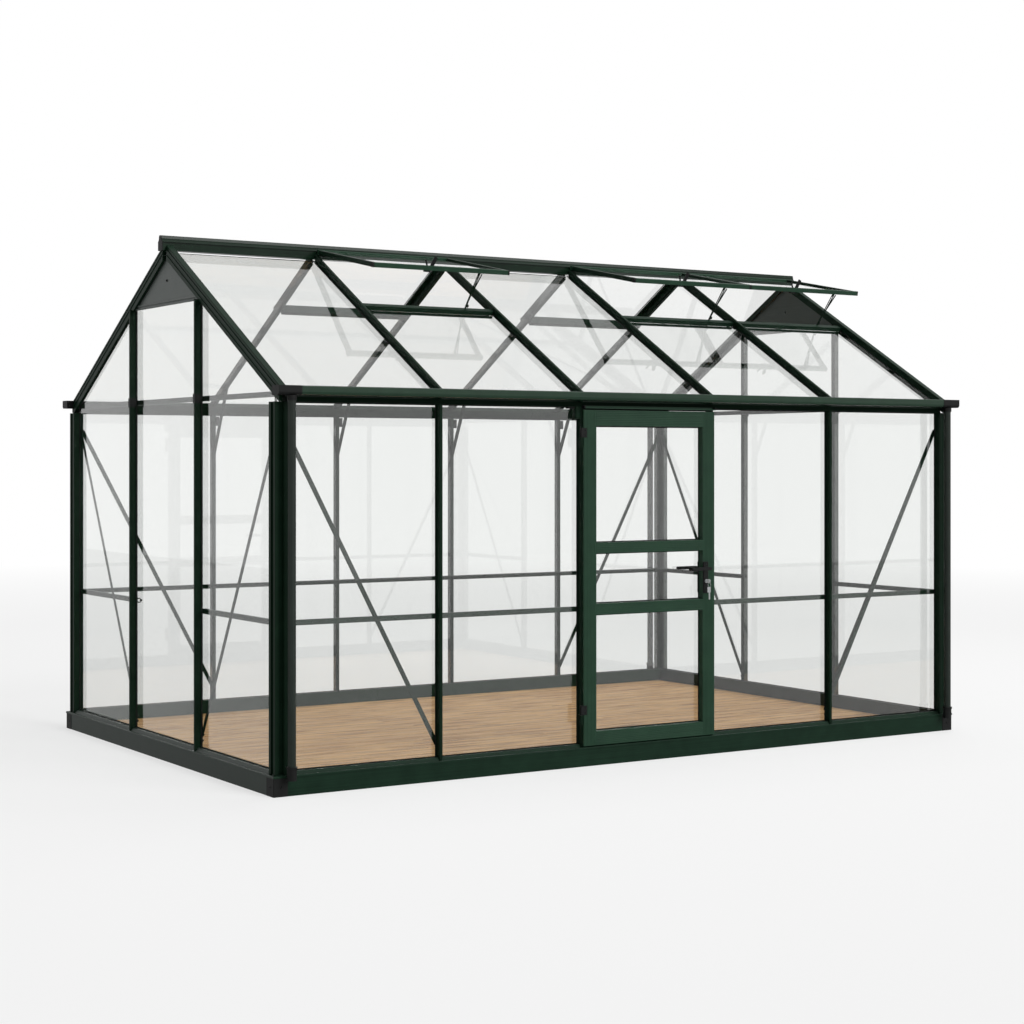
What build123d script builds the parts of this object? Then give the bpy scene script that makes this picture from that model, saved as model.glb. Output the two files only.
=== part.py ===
"""Glass greenhouse: an aluminium frame of slotted glazing bars on a base rail, clear panes,
a wooden floor, a hinged glazed door in the middle of a long side and lifting roof lights.

Frame: +Z up, +X along the ridge, the door faces -Y, origin on the ground under the middle.
All sizes are in millimetres.
"""
from build123d import *
from math import atan2, cos, radians, sin, tan
import os

# Plan: a whole number of equal bays each way, and what the corners add outside them
bay = 735.0
bays_long = 5
bays_wide = 3
corner_margin = 50.0

# Heights that set the others: the base's flat top, the eave beams' underside, the roof's pitch
base_height = 96.0
eave_height = 1591.0
roof_pitch = 30.75
roof_foot_rise = 66.0
waist_height = 693.0
fit_gap = 0.3

# Base rail: a set-back fascia, a rounded nose, a narrow shelf, then a slope up to the flat top
base_ledge = 15.0
base_inset = 50.0
base_set_back = 3.0
base_nose_drop = 11.5
base_nose_height = 9.5
base_nose_width = 8.0
base_nose_radius = 3.5
base_shelf_drop = 2.5
base_shelf_end = 3.0
base_flat_start = 12.0

# Corner blocks under the rails' mitred noses, and the floor
block_leg = 64.5
block_proud = 1.5
block_radius = 4.0
floor_thickness = 30.0
floor_gap = 0.5

# Glazing bar: a chamfered nose, a flute in each side and the slot that holds a pane
bar_width = 16.0
bar_depth = 40.0
bar_nose_chamfer = 2.5
flute_depth = 9.0
flute_width = 17.0
flute_bite = 2.0
slot_depth = 32.0
slot_width = 5.0
slot_bite = 4.5
glass_thickness = 4.0
glass_bite = 4.0
gable_head_cover = 20.0
roof_glass_head_gap = 1.0
roof_glass_foot_gap = 12.0

# Corner posts: L sections with a sunk panel in each outer face
post_leg = 57.5
post_corner_radius = 3.0
panel_from_corner = 16.0
panel_width = 23.0
panel_depth = 7.0

# Gable rafters (a deep web outside, a flange over the panes), ties, and sleeves on the bars
gable_rafter_width = 32.0
gable_rafter_depth = 58.0
gable_rafter_radius = 3.0
gable_flange_depth = 32.0
gable_flutes = ((14.0, 6.0), (34.0, 12.0))
gable_flute_bite = 3.0
tie_height = 22.0
tie_depth = 22.0
tie_wall = 3.0
tie_rise = 22.0
sleeve_wall = 2.0
sleeve_depth = 28.0
sleeve_height = 42.0

# Eave beam
beam_lip_height = 5.0
beam_set_back = 2.0
beam_slot_spare = 2.0

# Gutter, its corner pieces and the downpipes
gutter_reach = 62.0
gutter_height = 38.0
gutter_wall = 3.0
gutter_rise = 64.0
gutter_belly_radius = 14.0
gutter_bead_radius = 4.0
gutter_past_wall = 15.0
corner_piece_length = 106.0
corner_piece_proud = 1.5
corner_piece_end = 4.0
outlet_height = 20.0
outlet_wall = 3.0
pipe_radius = 17.0
pipe_wall = 2.0
pipe_from_corner = 52.0
pipe_from_wall = 46.0
shoe_bottom = 68.0
shoe_height = 56.0
shoe_wall = 3.0
shoe_sole = 3.0
shoe_drain = 20.0
shoe_collar_height = 9.0
shoe_collar_proud = 2.5

# Ridge and its end caps: a rounded crown, a neck, two sloping shoulders and an undercut skirt
ridge_half_width = 22.0
ridge_crown_rise = 32.0
ridge_crown_half = 9.0
ridge_crown_radius = 4.0
ridge_neck_half = 12.0
ridge_neck_drop = 14.0
ridge_neck_height = 5.0
ridge_shoulder_drop = 30.0
ridge_skirt_drop = 24.0
ridge_undercut_depth = 6.0
ridge_undercut_height = 8.0
ridge_cap_thickness = 4.0

# Gable plates under the apex: a folded sheet with one hole
plate_thickness = 4.0
plate_drop = 268.0
plate_lip = 14.0
plate_hole_radius = 6.0
plate_hole_drop = 172.0

# Waist rails and braces
waist_rail_height = 22.0
waist_rail_depth = 18.0
waist_rail_wall = 4.0
brace_width = 20.0
brace_thickness = 3.0
brace_top_drop = 91.0
brace_foot_rise = 54.0
brace_from_corner = 55.0
brace_notch_gap = 1.0
knee_foot_drop = 231.0
knee_reach = 172.0
knee_width = 24.0
knee_thickness = 6.0

# Roof lights: bays counted from the left seen from the front, the open ones on the front slope
light_bays_front = (2, 4, 5)
light_bays_back = (2, 4)
light_length_front = 556.0
light_length_back = 470.0
light_open_angle = 19.5
light_side_gap = 3.0
light_frame_width = 20.0
light_frame_depth = 22.0
light_frame_chamfer = 2.5
light_glass_depth = 8.0
light_hinge_gap = 0.5
light_rest_gap = 0.3
light_sill_width = 26.0
light_sill_drop = 14.0
light_past_sill = 30.0

# Stays of the open lights: a slotted blade that narrows to a finger on the sill
stay_width = 15.0
stay_finger = 7.0
stay_thickness = 4.0
stay_slot_rim = 0.24
stay_slot_ends = (0.08, 0.62)
stay_from_bar = 160.0

# Door leaf: an outer lip over the bars and a body that fits between them
door_overlap = 3.5
door_lip_out = 13.0
door_lip_in = 5.0
door_lip_radius = 2.5
door_side_gap = 6.0
door_body_in = 24.0
door_bottom_drop = 6.0
door_body_lift = 12.0
door_head_drop = 14.0
door_stile = 69.0
door_top_rail = 71.0
door_bottom_rail = 62.0
door_middle_rails = ((940.0, 48.0), (667.0, 50.0))
door_slot_in = 17.5
door_glass_bite = 6.0
door_slot_bite = 6.5

# Hinges and the drip cap
hinge_axis_out = 12.0
hinge_beyond_bar = 8.5
hinge_radius = 6.5
hinge_pin_radius = 3.0
hinge_pin_gap = 0.1
hinge_from_bottom = 138.0
hinge_from_top = 123.0
hinge_height = 84.0
hinge_plate_width = 29.0
hinge_leaf = 3.0
hinge_leaf_in = 24.0
hinge_leaf_hook = 2.0
hinge_gap = 1.0
drip_out = 22.0
drip_thickness = 4.0
drip_drop = 7.0

# Handle, lock and key
handle_height = 857.0
handle_from_edge = 55.0
handle_plate_width = 28.0
handle_plate_above = 31.0
handle_plate_below = 114.0
handle_plate_thickness = 6.0
handle_plate_radius = 6.0
handle_edge_chamfer = 1.5
handle_neck_radius = 7.0
handle_reach = 36.0
lever_length = 118.0
lever_width = 15.0
lever_thickness = 11.0
lever_return = 14.0
lever_bend_radius = 8.0
lever_end_radius = 5.0
lever_edge_chamfer = 2.0
cylinder_below = 58.0
cylinder_radius = 8.5
cylinder_proud = 4.0
key_thickness = 2.2
key_shank = 7.0
key_shank_height = 7.0
key_bow_radius = 10.0
key_neck = 1.0
key_hole_radius = 2.5

# Worked-out places in plan
half_long = bays_long * bay / 2 + corner_margin
half_wide = bays_wide * bay / 2 + corner_margin
roof_half = bays_long * bay / 2
bar_lines_long = [(i - bays_long / 2) * bay for i in range(1, bays_long)]
bar_lines_wide = [(i - bays_wide / 2) * bay for i in range(1, bays_wide)]
half_spans = {"front": half_long, "back": half_long, "left": half_wide, "right": half_wide}
bay_counts = {"front": bays_long, "back": bays_long, "left": bays_wide, "right": bays_wide}
bar_lines = {
    "front": bar_lines_long,
    "back": bar_lines_long,
    "left": bar_lines_wide,
    "right": bar_lines_wide,
}

# Worked-out heights
slope = radians(roof_pitch)
roof_apex = eave_height + roof_foot_rise + half_wide * tan(slope)
ridge_top = roof_apex + ridge_crown_rise
gutter_top = eave_height + gutter_rise
gutter_bottom = gutter_top - gutter_height
nose_top = base_height - base_nose_drop
nose_bottom = nose_top - base_nose_height
door_bottom = base_height - door_bottom_drop
door_body_bottom = door_bottom + door_body_lift
door_top = eave_height - door_head_drop

# Worked-out depths of slots and panes
slot_middle = slot_depth + slot_width / 2
glass_gap = (slot_width - glass_thickness) / 2
glass_depth = slot_depth + glass_gap

os.makedirs("parts", exist_ok=True)


def save(part, name):
    """Label one finished sub-part and write its file."""
    part.label = name
    export_step(part, f"parts/{name}.step")


def roof_z(across, depth=0.0):
    """Height of the roof at a distance from the ridge line, `depth` under its outer face."""
    return roof_apex - abs(across) * tan(slope) - depth / cos(slope)


def wall(side):
    """A wall's frame: origin on its outer face at the ground, x along it, y inwards."""
    frames = {
        "front": ((0, -half_wide, 0), (1, 0, 0)),
        "back": ((0, half_wide, 0), (-1, 0, 0)),
        "left": ((-half_long, 0, 0), (0, -1, 0)),
        "right": ((half_long, 0, 0), (0, 1, 0)),
    }
    origin, along = frames[side]
    return Plane(origin=origin, x_dir=along, z_dir=(0, 0, 1))


def wall_level(side, z, along=0.0):
    """A horizontal plane of a wall's frame, moved up and along the wall."""
    frame = wall(side)
    return Plane(origin=frame.from_local_coords((along, 0, z)), x_dir=frame.x_dir, z_dir=(0, 0, 1))


def wall_section(side, along):
    """A plane across a wall: x inwards, y up, its normal along the wall's x direction."""
    frame = wall(side)
    return Plane(origin=frame.from_local_coords((along, 0, 0)), x_dir=frame.y_dir, z_dir=frame.x_dir)


def wall_face(side, depth):
    """A plane along a wall at a depth: x along the wall, y up, its normal outwards."""
    frame = wall(side)
    return Plane(origin=frame.from_local_coords((0, depth, 0)), x_dir=frame.x_dir, z_dir=-frame.y_dir)


def corner_level(number, z):
    """A horizontal plane at one of the four corners, x and y both pointing into the house."""
    corners = [(-1, -1, (1, 0, 0)), (1, -1, (0, 1, 0)), (1, 1, (-1, 0, 0)), (-1, 1, (0, -1, 0))]
    sx, sy, along = corners[number]
    return Plane(origin=(sx * half_long, sy * half_wide, z), x_dir=along, z_dir=(0, 0, 1))


def roof_bar_plane(side, x):
    """A plane across a rafter at the apex: y into the roof, its normal down the slope."""
    sign = -1 if side == "front" else 1
    return Plane(
        origin=(x, 0, roof_apex), x_dir=(sign, 0, 0), z_dir=(0, sign * cos(slope), -sin(slope))
    )


def roof_face(side, depth):
    """A plane along a roof slope: origin at the apex, y down the slope, normal inwards."""
    sign = -1 if side == "front" else 1
    return Plane(
        origin=(0, 0, roof_z(0, depth)),
        x_dir=(-sign, 0, 0),
        z_dir=(0, -sign * sin(slope), -cos(slope)),
    )


def house_section(x=0.0):
    """An upright plane across the house: its x is +Y, its y is up, its normal +X."""
    return Plane(origin=(x, 0, 0), x_dir=(0, 1, 0), z_dir=(1, 0, 0))


def closed_outline(points):
    """A filled polygon in the sketch that is being built."""
    Polygon(*points, align=None)


def above_roof(depth):
    """Everything over the roof's underside at a depth, in the house's cross-section."""
    closed_outline(
        [
            (-half_wide, roof_z(half_wide, depth)),
            (0, roof_z(0, depth)),
            (half_wide, roof_z(half_wide, depth)),
            (half_wide, ridge_top),
            (-half_wide, ridge_top),
        ]
    )


def rafter_outline(sign, depth):
    """Side view of a rafter on one slope, its foot cut level where it meets the eave's height."""
    inner, outer = ridge_half_width, half_wide
    foot = roof_z(outer, depth)
    points = [(sign * inner, roof_z(inner)), (sign * outer, roof_z(outer))]
    if foot < eave_height:
        points += [
            (sign * outer, eave_height),
            (sign * (outer - (eave_height - foot) / tan(slope)), eave_height),
        ]
    else:
        points += [(sign * outer, foot)]
    points += [(sign * inner, roof_z(inner, depth))]
    closed_outline(points)


def brace_outline(side, hand, width):
    """A wall brace from the outer top of an end bay to the foot of its first bar."""
    outer = half_spans[side] - brace_from_corner
    inner = half_spans[side] - corner_margin - bay
    top, foot = eave_height - brace_top_drop, base_height + brace_foot_rise
    lean = atan2(top - foot, outer - inner)
    across, up = width / 2 * sin(lean), width / 2 * cos(lean)
    closed_outline(
        [
            (hand * (outer - across), top + up),
            (hand * (outer + across), top - up),
            (hand * (inner + across), foot - up),
            (hand * (inner - across), foot + up),
        ]
    )


def between(start, end, share):
    """The point at a share of the way from one point to another."""
    return tuple(a + (b - a) * share for a, b in zip(start, end))


# Base rail section, x inwards and y up: fascia, nose, shelf, slope and flat top
with BuildSketch() as base_rail_section:
    with BuildLine():
        Polyline(
            (-base_ledge + base_set_back, 0),
            (base_inset, 0),
            (base_inset, base_height),
            (base_flat_start, base_height),
            (base_shelf_end, nose_top - base_shelf_drop),
            (-base_ledge + base_nose_width, nose_top - base_shelf_drop),
            (-base_ledge + base_nose_width, nose_top),
            (-base_ledge, nose_top),
            (-base_ledge, nose_bottom),
            (-base_ledge + base_set_back, nose_bottom),
            close=True,
        )
    make_face()
    nose_corner = base_rail_section.vertices().sort_by_distance((-base_ledge, nose_top))[0]
    fillet(nose_corner, radius=base_nose_radius)

# Glazing bar section, its outer face on the x axis
with BuildSketch() as bar_section:
    Rectangle(bar_width, bar_depth, align=(Align.CENTER, Align.MIN))
    chamfer(bar_section.vertices().group_by(Axis.Y)[0], length=bar_nose_chamfer)
    with Locations((-bar_width / 2, slot_middle), (bar_width / 2, slot_middle)):
        Rectangle(2 * slot_bite, slot_width, mode=Mode.SUBTRACT)
    flute_middle = flute_depth + flute_width / 2
    with Locations((-bar_width / 2, flute_middle), (bar_width / 2, flute_middle)):
        Rectangle(2 * flute_bite, flute_width, mode=Mode.SUBTRACT)

# Corner post section, its outer corner at the origin, a pane slot in the end of each leg
with BuildSketch() as post_section:
    Rectangle(post_leg, bar_depth, align=Align.MIN)
    Rectangle(bar_depth, post_leg, align=Align.MIN)
    fillet(post_section.vertices().sort_by_distance((0, 0))[0], radius=post_corner_radius)
    panel_middle = panel_from_corner + panel_width / 2
    with Locations((panel_middle, 0)):
        Rectangle(panel_width, 2 * panel_depth, mode=Mode.SUBTRACT)
    with Locations((0, panel_middle)):
        Rectangle(2 * panel_depth, panel_width, mode=Mode.SUBTRACT)
    with Locations((post_leg, slot_middle)):
        Rectangle(2 * slot_bite, slot_width, mode=Mode.SUBTRACT)
    with Locations((slot_middle, post_leg)):
        Rectangle(slot_width, 2 * slot_bite, mode=Mode.SUBTRACT)

# Gutter sections: the trough's outside with its belly, and its inside
with BuildSketch() as gutter_outside:
    with Locations((-gutter_reach / 2, gutter_bottom + gutter_height / 2)):
        Rectangle(gutter_reach, gutter_height)
    belly = gutter_outside.vertices().sort_by_distance((-gutter_reach, gutter_bottom))[0]
    fillet(belly, radius=gutter_belly_radius)

with BuildSketch() as gutter_inside:
    with Locations((-gutter_reach / 2, gutter_bottom + gutter_wall + gutter_height / 2)):
        Rectangle(gutter_reach - 2 * gutter_wall, gutter_height)
    inner_belly = gutter_inside.vertices().sort_by_distance((-gutter_reach, gutter_bottom))[0]
    fillet(inner_belly, radius=gutter_belly_radius - gutter_wall)

# Corner blocks: the four base corners, standing a little proud of the fascias
block_outer = base_ledge - base_set_back + block_proud
block_inner = block_leg - block_outer
with BuildPart() as corner_blocks:
    for number in range(4):
        with BuildSketch(corner_level(number, 0)) as block_plan:
            with Locations((block_inner - block_leg / 2, block_inner - block_leg / 2)):
                Rectangle(block_leg, block_leg)
            outer_corner = block_plan.vertices().sort_by_distance((-block_leg, -block_leg))[0]
            fillet(outer_corner, radius=block_radius)
        extrude(amount=nose_bottom)
save(corner_blocks.part, "corner_blocks")

# Base rails: mitred at the corners, their fascias stopped against the corner blocks
base_rails = {}
for name, sides in (("long_base_rails", ("front", "back")), ("gable_base_rails", ("left", "right"))):
    with BuildPart() as rails:
        for side in sides:
            rail_end = half_spans[side] + base_ledge
            with BuildSketch(wall_section(side, -rail_end)):
                add(base_rail_section.sketch)
            extrude(amount=2 * rail_end)
            with BuildSketch(wall_level(side, 0)):
                for hand in (-1, 1):
                    closed_outline(
                        [
                            (hand * rail_end, -base_ledge),
                            (hand * (half_spans[side] - base_inset), base_inset),
                            (hand * rail_end, base_inset),
                        ]
                    )
            extrude(amount=base_height, mode=Mode.SUBTRACT)
        for number in range(4):
            with BuildSketch(corner_level(number, 0)):
                with Locations((block_inner - block_leg / 2, block_inner - block_leg / 2)):
                    Rectangle(block_leg, block_leg)
            extrude(amount=nose_bottom, mode=Mode.SUBTRACT)
    save(rails.part, name)
    base_rails[name] = rails.part

# Wooden floor inside the base rails, notched round the corner blocks
with BuildPart() as floor:
    with BuildSketch(Plane.XY):
        Rectangle(
            2 * (half_long - base_inset - floor_gap), 2 * (half_wide - base_inset - floor_gap)
        )
        with Locations(*[(sx * half_long, sy * half_wide) for sx in (-1, 1) for sy in (-1, 1)]):
            notch = 2 * (block_inner + floor_gap)
            Rectangle(notch, notch, mode=Mode.SUBTRACT)
    extrude(amount=floor_thickness)
save(floor.part, "wooden_floor")

# Corner posts, scribed over the mitred base rails
with BuildPart() as corner_posts:
    for number in range(4):
        with BuildSketch(corner_level(number, nose_bottom)):
            add(post_section.sketch)
        extrude(amount=eave_height - nose_bottom)
    for rails_part in base_rails.values():
        add(rails_part, mode=Mode.SUBTRACT)
save(corner_posts.part, "corner_posts")

# Glazing bars of the long walls, from the base rail to the eave beam
for side in ("front", "back"):
    with BuildPart() as wall_bars:
        for along in bar_lines[side]:
            with BuildSketch(wall_level(side, nose_bottom, along)):
                add(bar_section.sketch)
            extrude(amount=eave_height - nose_bottom)
        with BuildSketch(wall_section(side, -half_long)):
            add(base_rail_section.sketch)
        extrude(amount=2 * half_long, mode=Mode.SUBTRACT)
    save(wall_bars.part, f"{side}_glazing_bars")

# Glazing bars of the gables, up to the underside of the gable rafters
with BuildPart() as gable_bars:
    for side in ("left", "right"):
        for along in bar_lines[side]:
            with BuildSketch(wall_level(side, nose_bottom, along)):
                add(bar_section.sketch)
            extrude(amount=roof_apex - nose_bottom)
        with BuildSketch(wall_section(side, -half_wide)):
            add(base_rail_section.sketch)
        extrude(amount=2 * half_wide, mode=Mode.SUBTRACT)
    with BuildSketch(house_section()):
        above_roof(gable_rafter_depth)
    extrude(amount=half_long, both=True, mode=Mode.SUBTRACT)
save(gable_bars.part, "gable_glazing_bars")

# Sleeves round the gable bars' noses, in front of the ties
sleeve_half = bar_width / 2 + fit_gap + sleeve_wall
sleeve_front = fit_gap + sleeve_wall
sleeve_middle = eave_height + tie_rise + tie_height / 2
with BuildPart() as sleeves:
    for side in ("left", "right"):
        for along in bar_lines[side]:
            with BuildSketch(wall_level(side, sleeve_middle - sleeve_height / 2, along)):
                with Locations((0, (sleeve_depth - sleeve_front) / 2)):
                    Rectangle(2 * sleeve_half, sleeve_depth + sleeve_front)
                with Locations((0, (sleeve_depth - fit_gap) / 2)):
                    Rectangle(bar_width + 2 * fit_gap, sleeve_depth + fit_gap, mode=Mode.SUBTRACT)
            extrude(amount=sleeve_height)
save(sleeves.part, "gable_bar_sleeves")

# Wall braces: flat bars across the end bays, against the inner faces of bars and posts
with BuildPart() as braces:
    for side in half_spans:
        with BuildSketch(wall_face(side, bar_depth)):
            brace_outline(side, -1, brace_width)
            brace_outline(side, 1, brace_width)
        extrude(amount=-brace_thickness)
save(braces.part, "wall_braces")

# Waist rails: channels against the bars' inner faces, notched where a brace passes
waist_bays = {"front": (1, 2, 4, 5), "back": (1, 2, 3, 4, 5), "left": (1, 3), "right": (1, 3)}
with BuildPart() as waist_rails:
    for side, numbers in waist_bays.items():
        corner = bar_depth if side in ("front", "back") else bar_depth + waist_rail_depth
        inner = half_spans[side] - corner
        for number in numbers:
            start = max((number - 1 - bay_counts[side] / 2) * bay, -inner)
            end = min((number - bay_counts[side] / 2) * bay, inner)
            if number == 1:
                start = -inner
            if number == bay_counts[side]:
                end = inner
            with BuildSketch(wall_section(side, start + fit_gap)):
                with Locations((bar_depth + waist_rail_depth / 2, waist_height)):
                    Rectangle(waist_rail_depth, waist_rail_height)
                with Locations((bar_depth + waist_rail_wall + waist_rail_depth / 2, waist_height)):
                    Rectangle(
                        waist_rail_depth,
                        waist_rail_height - 2 * waist_rail_wall,
                        mode=Mode.SUBTRACT,
                    )
            extrude(amount=end - start - 2 * fit_gap)
        with BuildSketch(wall_face(side, bar_depth)):
            brace_outline(side, -1, brace_width + 2 * brace_notch_gap)
            brace_outline(side, 1, brace_width + 2 * brace_notch_gap)
        extrude(amount=-(brace_thickness + fit_gap), mode=Mode.SUBTRACT)
save(waist_rails.part, "waist_rails")

# Eave beams on the posts and wall bars, their tops under the rafters, a lip along the foot
beam_end = roof_half
with BuildPart() as beams:
    for side in ("front", "back"):
        with BuildSketch(wall_section(side, -beam_end)):
            closed_outline(
                [
                    (0, eave_height),
                    (bar_depth, eave_height),
                    (bar_depth, roof_z(half_wide - bar_depth, bar_depth)),
                    (beam_set_back, roof_z(half_wide - beam_set_back, bar_depth)),
                    (beam_set_back, eave_height + beam_lip_height),
                    (0, eave_height + beam_lip_height),
                ]
            )
            with Locations((slot_middle, eave_height)):
                Rectangle(slot_width, 2 * (glass_bite + beam_slot_spare), mode=Mode.SUBTRACT)
        extrude(amount=2 * beam_end)
save(beams.part, "eave_beams")

# Gutters: a bellied trough with a bead along its outer edge, between two corner pieces
gutter_half = half_long + gutter_past_wall - corner_piece_length
for side in ("front", "back"):
    with BuildPart() as gutter:
        with BuildSketch(wall_section(side, -gutter_half)):
            add(gutter_outside.sketch)
            add(gutter_inside.sketch, mode=Mode.SUBTRACT)
            with Locations((-gutter_reach, gutter_top)):
                Rectangle(2 * gutter_bead_radius, 2 * gutter_bead_radius, mode=Mode.SUBTRACT)
            with Locations((gutter_bead_radius - gutter_reach, gutter_top - gutter_bead_radius)):
                Circle(gutter_bead_radius)
        extrude(amount=2 * gutter_half)
    save(gutter.part, f"{side}_gutter")

# Gutter corner pieces: the same trough, thicker outside, closed at the end, with a pipe outlet
pipe_places = {
    (side, hand): (hand * (half_long - pipe_from_corner), -pipe_from_wall)
    for side in ("front", "back")
    for hand in (-1, 1)
}
piece_bottom = gutter_bottom - corner_piece_proud
with BuildPart() as corner_pieces:
    for side in ("front", "back"):
        for hand in (-1, 1):
            start = hand * gutter_half
            with BuildSketch(wall_section(side, start)) as piece_outside:
                with Locations(
                    (-(gutter_reach + corner_piece_proud) / 2, (gutter_top + piece_bottom) / 2)
                ):
                    Rectangle(gutter_reach + corner_piece_proud, gutter_top - piece_bottom)
                lower = piece_outside.vertices().sort_by_distance((-2 * gutter_reach, 0))[0]
                fillet(lower, radius=gutter_belly_radius)
            extrude(amount=hand * corner_piece_length)
            with BuildSketch(wall_section(side, start)):
                add(gutter_inside.sketch)
            extrude(amount=hand * (corner_piece_length - corner_piece_end), mode=Mode.SUBTRACT)
            with BuildSketch(wall_level(side, piece_bottom - outlet_height)):
                with Locations(pipe_places[side, hand]):
                    Circle(pipe_radius + fit_gap + outlet_wall)
                    Circle(pipe_radius + fit_gap, mode=Mode.SUBTRACT)
            extrude(amount=outlet_height)
            with BuildSketch(wall_level(side, piece_bottom)):
                with Locations(pipe_places[side, hand]):
                    Circle(pipe_radius - pipe_wall)
            extrude(amount=corner_piece_proud + gutter_wall, mode=Mode.SUBTRACT)
save(corner_pieces.part, "gutter_corner_pieces")

# Downpipes at the four corners, from their shoes up to the outlets
pipe_bottom = shoe_bottom + shoe_sole
with BuildPart() as downpipes:
    for (side, hand), place in pipe_places.items():
        with BuildSketch(wall_level(side, pipe_bottom)):
            with Locations(place):
                Circle(pipe_radius)
                Circle(pipe_radius - pipe_wall, mode=Mode.SUBTRACT)
        extrude(amount=piece_bottom - pipe_bottom)
save(downpipes.part, "downpipes")

shoe_radius = pipe_radius + fit_gap + shoe_wall
with BuildPart() as pipe_shoes:
    for (side, hand), place in pipe_places.items():
        with BuildSketch(wall_level(side, shoe_bottom)):
            with Locations(place):
                Circle(shoe_radius)
        extrude(amount=shoe_height)
        with BuildSketch(wall_level(side, shoe_bottom + shoe_height - shoe_collar_height)):
            with Locations(place):
                Circle(shoe_radius + shoe_collar_proud)
        extrude(amount=shoe_collar_height)
        with BuildSketch(wall_level(side, pipe_bottom)):
            with Locations(place):
                Circle(pipe_radius + fit_gap)
        extrude(amount=shoe_height, mode=Mode.SUBTRACT)
        with BuildSketch(wall_level(side, shoe_bottom)):
            with Locations(place):
                Rectangle(shoe_drain, shoe_drain)
        extrude(amount=shoe_height, mode=Mode.SUBTRACT)
save(pipe_shoes.part, "downpipe_shoes")

# Gable ties: channels across the gables over eave level, against the bars' inner faces
tie_half = half_wide - bar_depth
with BuildPart() as ties:
    for side in ("left", "right"):
        with BuildSketch(wall_section(side, -tie_half)):
            with Locations((bar_depth + tie_depth / 2, sleeve_middle)):
                Rectangle(tie_depth, tie_height)
            with Locations((bar_depth + tie_wall + tie_depth / 2, sleeve_middle)):
                Rectangle(tie_depth, tie_height - 2 * tie_wall, mode=Mode.SUBTRACT)
        extrude(amount=2 * tie_half)
    with BuildSketch(house_section()):
        above_roof(bar_depth)
    extrude(amount=half_long, both=True, mode=Mode.SUBTRACT)
save(ties.part, "gable_ties")

# Gable rafters outside the last bays: their web stands before the gable panes, their flange
# reaches over them, two flutes in the outer face, cut upright at the ridge and at the eave
gable_web = half_long - slot_depth - roof_half
slope_pairs = []
for side, sign in (("front", -1), ("back", 1)):
    with BuildPart() as slope_pair:
        for end in (-1, 1):
            outward = end * sign
            outer = outward * gable_rafter_width
            below = gable_rafter_depth - gable_flange_depth
            with BuildSketch(roof_bar_plane(side, end * roof_half)) as rafter_section:
                with Locations((outer / 2, gable_rafter_depth / 2)):
                    Rectangle(gable_rafter_width, gable_rafter_depth)
                top_corners = rafter_section.vertices().group_by(Axis.Y)[0]
                fillet(top_corners, radius=gable_rafter_radius)
                with Locations((outward * gable_web / 2, gable_rafter_depth - below / 2)):
                    Rectangle(gable_web, below, mode=Mode.SUBTRACT)
                for depth, width in gable_flutes:
                    with Locations((outer, depth)):
                        Rectangle(2 * gable_flute_bite, width, mode=Mode.SUBTRACT)
            extrude(amount=2 * half_wide)
        with BuildSketch(house_section(-half_long - bay)):
            rafter_outline(sign, gable_rafter_depth)
        extrude(amount=2 * (half_long + bay), mode=Mode.INTERSECT)
    slope_pairs.append(slope_pair.part)
with BuildPart() as gable_rafters:
    for pair in slope_pairs:
        add(pair)
save(gable_rafters.part, "gable_rafters")

# Rafters: glazing bars on the slopes, cut upright at the ridge and at the eave
with BuildPart() as rafters:
    for side in ("front", "back"):
        for x in bar_lines_long:
            with BuildSketch(roof_bar_plane(side, x)):
                add(bar_section.sketch)
            extrude(amount=2 * half_wide)
    with BuildSketch(house_section(-half_long)):
        rafter_outline(-1, bar_depth)
        rafter_outline(1, bar_depth)
    extrude(amount=2 * half_long, mode=Mode.INTERSECT)
save(rafters.part, "rafters")

# Ridge, the full length of the house, its sides undercut below the shoulders, a cap on each end
ridge_bottom = roof_z(ridge_half_width) - ridge_skirt_drop
ridge_shoulder = ridge_top - ridge_shoulder_drop
neck_top = ridge_top - ridge_neck_drop
with BuildSketch() as ridge_outline:
    closed_outline(
        [
            (-ridge_half_width, ridge_shoulder),
            (-ridge_neck_half, neck_top - ridge_neck_height),
            (-ridge_neck_half, neck_top),
            (-ridge_crown_half, ridge_top),
            (ridge_crown_half, ridge_top),
            (ridge_neck_half, neck_top),
            (ridge_neck_half, neck_top - ridge_neck_height),
            (ridge_half_width, ridge_shoulder),
            (ridge_half_width, ridge_bottom),
            (-ridge_half_width, ridge_bottom),
        ]
    )
    fillet(ridge_outline.vertices().group_by(Axis.Y)[-1], radius=ridge_crown_radius)

undercut_middle = ridge_shoulder - fit_gap - ridge_undercut_height / 2
with BuildPart() as ridge:
    with BuildSketch(house_section(-half_long)):
        add(ridge_outline.sketch)
        with Locations((-ridge_half_width, undercut_middle), (ridge_half_width, undercut_middle)):
            Rectangle(2 * ridge_undercut_depth, ridge_undercut_height, mode=Mode.SUBTRACT)
    extrude(amount=2 * half_long)
save(ridge.part, "ridge")

with BuildPart() as ridge_caps:
    for end in (-1, 1):
        with BuildSketch(house_section(end * half_long)):
            add(ridge_outline.sketch)
        extrude(amount=end * ridge_cap_thickness)
save(ridge_caps.part, "ridge_end_caps")

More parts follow.
